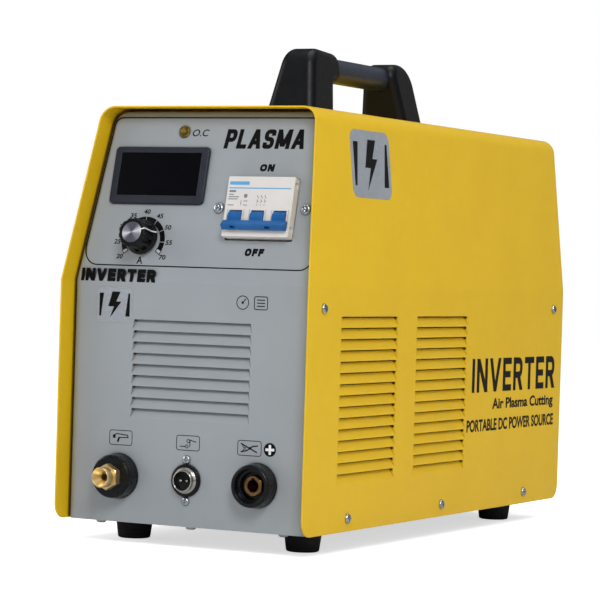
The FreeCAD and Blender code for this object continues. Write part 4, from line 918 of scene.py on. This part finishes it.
def socket_icons():
    """Plain pictograms of a torch, a switch and a clamp over their sockets, and a plus sign."""
    torch = icon_frame("torch_icon", -55.9, 77.5)
    body = ribbon([(-6.4, 1.2), (-3.6, 2.8), (5.6, 2.0), (6.2, 0.4), (-2.2, 0.0)], 0.7)
    grip = ribbon([(-1.4, 0.2), (-2.6, -3.2)], 1.5)
    marks("torch_icon_shape", body + grip + [rounded(2.2, 2.6, 0.5, -5.6, 0.8)], torch, "black_ink")
    switch = icon_frame("switch_icon", 0.6, 76.7)
    leads = ribbon([(-6.8, -2.6), (-2.2, -2.6)], 0.6) + ribbon([(1.6, -2.6), (1.6, 2.2), (6.8, 1.0)], 0.6)
    contacts = ribbon(circle(1.2, 16, 0.2, 1.4), 0.5, True)
    contacts += ribbon(circle(1.1, 16, -0.9, -2.5), 0.5, True)
    marks("switch_icon_shape", leads + contacts, switch, "black_ink")
    clamp = icon_frame("clamp_icon", 51.0, 75.8)
    arms = ribbon([(-7.0, 3.2), (-2.6, 1.2), (6.2, -2.8)], 0.9)
    arms += ribbon([(-7.0, -2.8), (-2.2, -1.8), (2.4, 1.4), (6.8, 2.0)], 0.9)
    teeth = ribbon([(-5.8, 2.4), (-5.0, 0.6), (-2.8, 0.2)], 0.6)
    teeth += ribbon([(-5.6, -2.4), (-4.6, -0.8), (-2.8, -0.6)], 0.6)
    marks("clamp_icon_shape", arms + teeth + [circle(1.0, 14, 0.6, 0.0)], clamp, "black_ink")
    plus = on_front(67.5, 75.6)
    marks("plus_disc", [circle(4.9)], plus, "black_ink", lift=0.01, thick=0.03)
    bars = ribbon([(-3.5, 0), (-0.95, 0)], 1.9) + ribbon([(0.95, 0), (3.5, 0)], 1.9)
    bars += ribbon([(0, -3.5), (0, 3.5)], 1.9)
    marks("plus_bars", bars, plus, "white_ink", lift=0.06, thick=0.03)


def louvre_icons():
    """A plain gauge and a plate of three bars, over the right end of the front louvres."""
    needle = ribbon([(0.8, 0.9), (2.4, 2.7)], 0.7)
    gauge = ribbon(circle(4.8, 28), 0.6, True) + [circle(1.0, 12)] + needle
    marks("gauge_icon", gauge, on_front(42.0, 179.4), "black_ink")
    bars = ribbon(rounded(10.6, 9.2, 1.4), 0.6, True)
    for y in (-2.2, 0.0, 2.2):
        bars += ribbon([(-3.2, y), (3.2, y)], 0.7)
    marks("bars_icon", bars, on_front(56.8, 179.4), "black_ink")


def breaker_print():
    """Blue band and small plain symbols on the breaker's face."""
    place = facing(BREAKER_FACE_POINT, (1, 0, 0), SLOPE_UP)
    marks("breaker_band", ribbon([(-25.6, 13.6), (24.4, 13.6)], 0.8), place, "blue_ink")
    marks("breaker_mark", [rounded(16.0, 2.6, 0.8, -17.6, 17.2)], place, "blue_ink")
    dashes = []
    for row, (y, long) in enumerate(((11.2, 5.4), (8.8, 4.0), (7.0, 8.4), (5.4, 7.6), (0.9, 5.0))):
        dashes += ribbon([(-25.2, y), (-25.2 + long, y)], 1.5 if row == 0 else 0.7)
    dashes += ribbon([(-14.6, 1.0), (-14.6, 4.4)], 0.5) + ribbon([(-12.6, 4.0), (-9.4, 4.0)], 0.6)
    dashes += ribbon([(-12.6, 1.0), (-9.4, 1.0)], 0.6) + [circle(1.5, 16, -11.4, 7.8)]
    for x in (-1.6, 1.4, 4.4):
        dashes += ribbon([(x, 8.6), (x, 7.2), (x + 1.2, 6.2)], 0.45)
        dashes += ribbon([(x, 5.4), (x, 4.6), (x + 0.9, 4.0), (x, 3.4), (x, 2.8)], 0.45)
        dashes += ribbon([(x, 1.8), (x, 0.8)], 0.45)
    marks("breaker_symbols", dashes, place, "grey_ink", lift=0.03)


def rear_marks():
    """Rating plate with plain bars, and the earth symbol over its stud."""
    plate_at = facing((0.0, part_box("rear_panel")[1].y, 0.105), (-1, 0, 0), (0, 0, 1))
    marks("rating_plate", [rounded(74.0, 40.0, 2.5)], plate_at, "silver", thick=0.3)
    lines = ribbon(rounded(70.0, 36.0, 1.8), 0.5, True)
    for i in range(6):
        y = 13.0 - i * 5.2
        lines += ribbon([(-31.0, y), (-14.0, y)], 1.1)
        lines += ribbon([(-10.0, y), (8.0 + 5 * (i % 3), y)], 1.1)
    marks("rating_plate_bars", lines, plate_at, "black_ink", lift=0.33)
    earth_at = facing((0.0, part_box("rear_panel")[1].y, 0.065), (-1, 0, 0), (0, 0, 1))
    earth = ribbon([(0, 4.2), (0, 0)], 0.8) + ribbon([(-4.2, -0.4), (4.2, -0.4)], 0.8)
    earth += ribbon([(-2.8, -2.0), (2.8, -2.0)], 0.8) + ribbon([(-1.4, -3.6), (1.4, -3.6)], 0.8)
    marks("earth_symbol", earth, earth_at, "black_ink")


finish_nodes()
valve_spring()
panel_frame()
panel_words()
dial()
knob_pointer()
badges()
socket_icons()
louvre_icons()
breaker_print()
rear_marks()
stage()
lights()
camera()
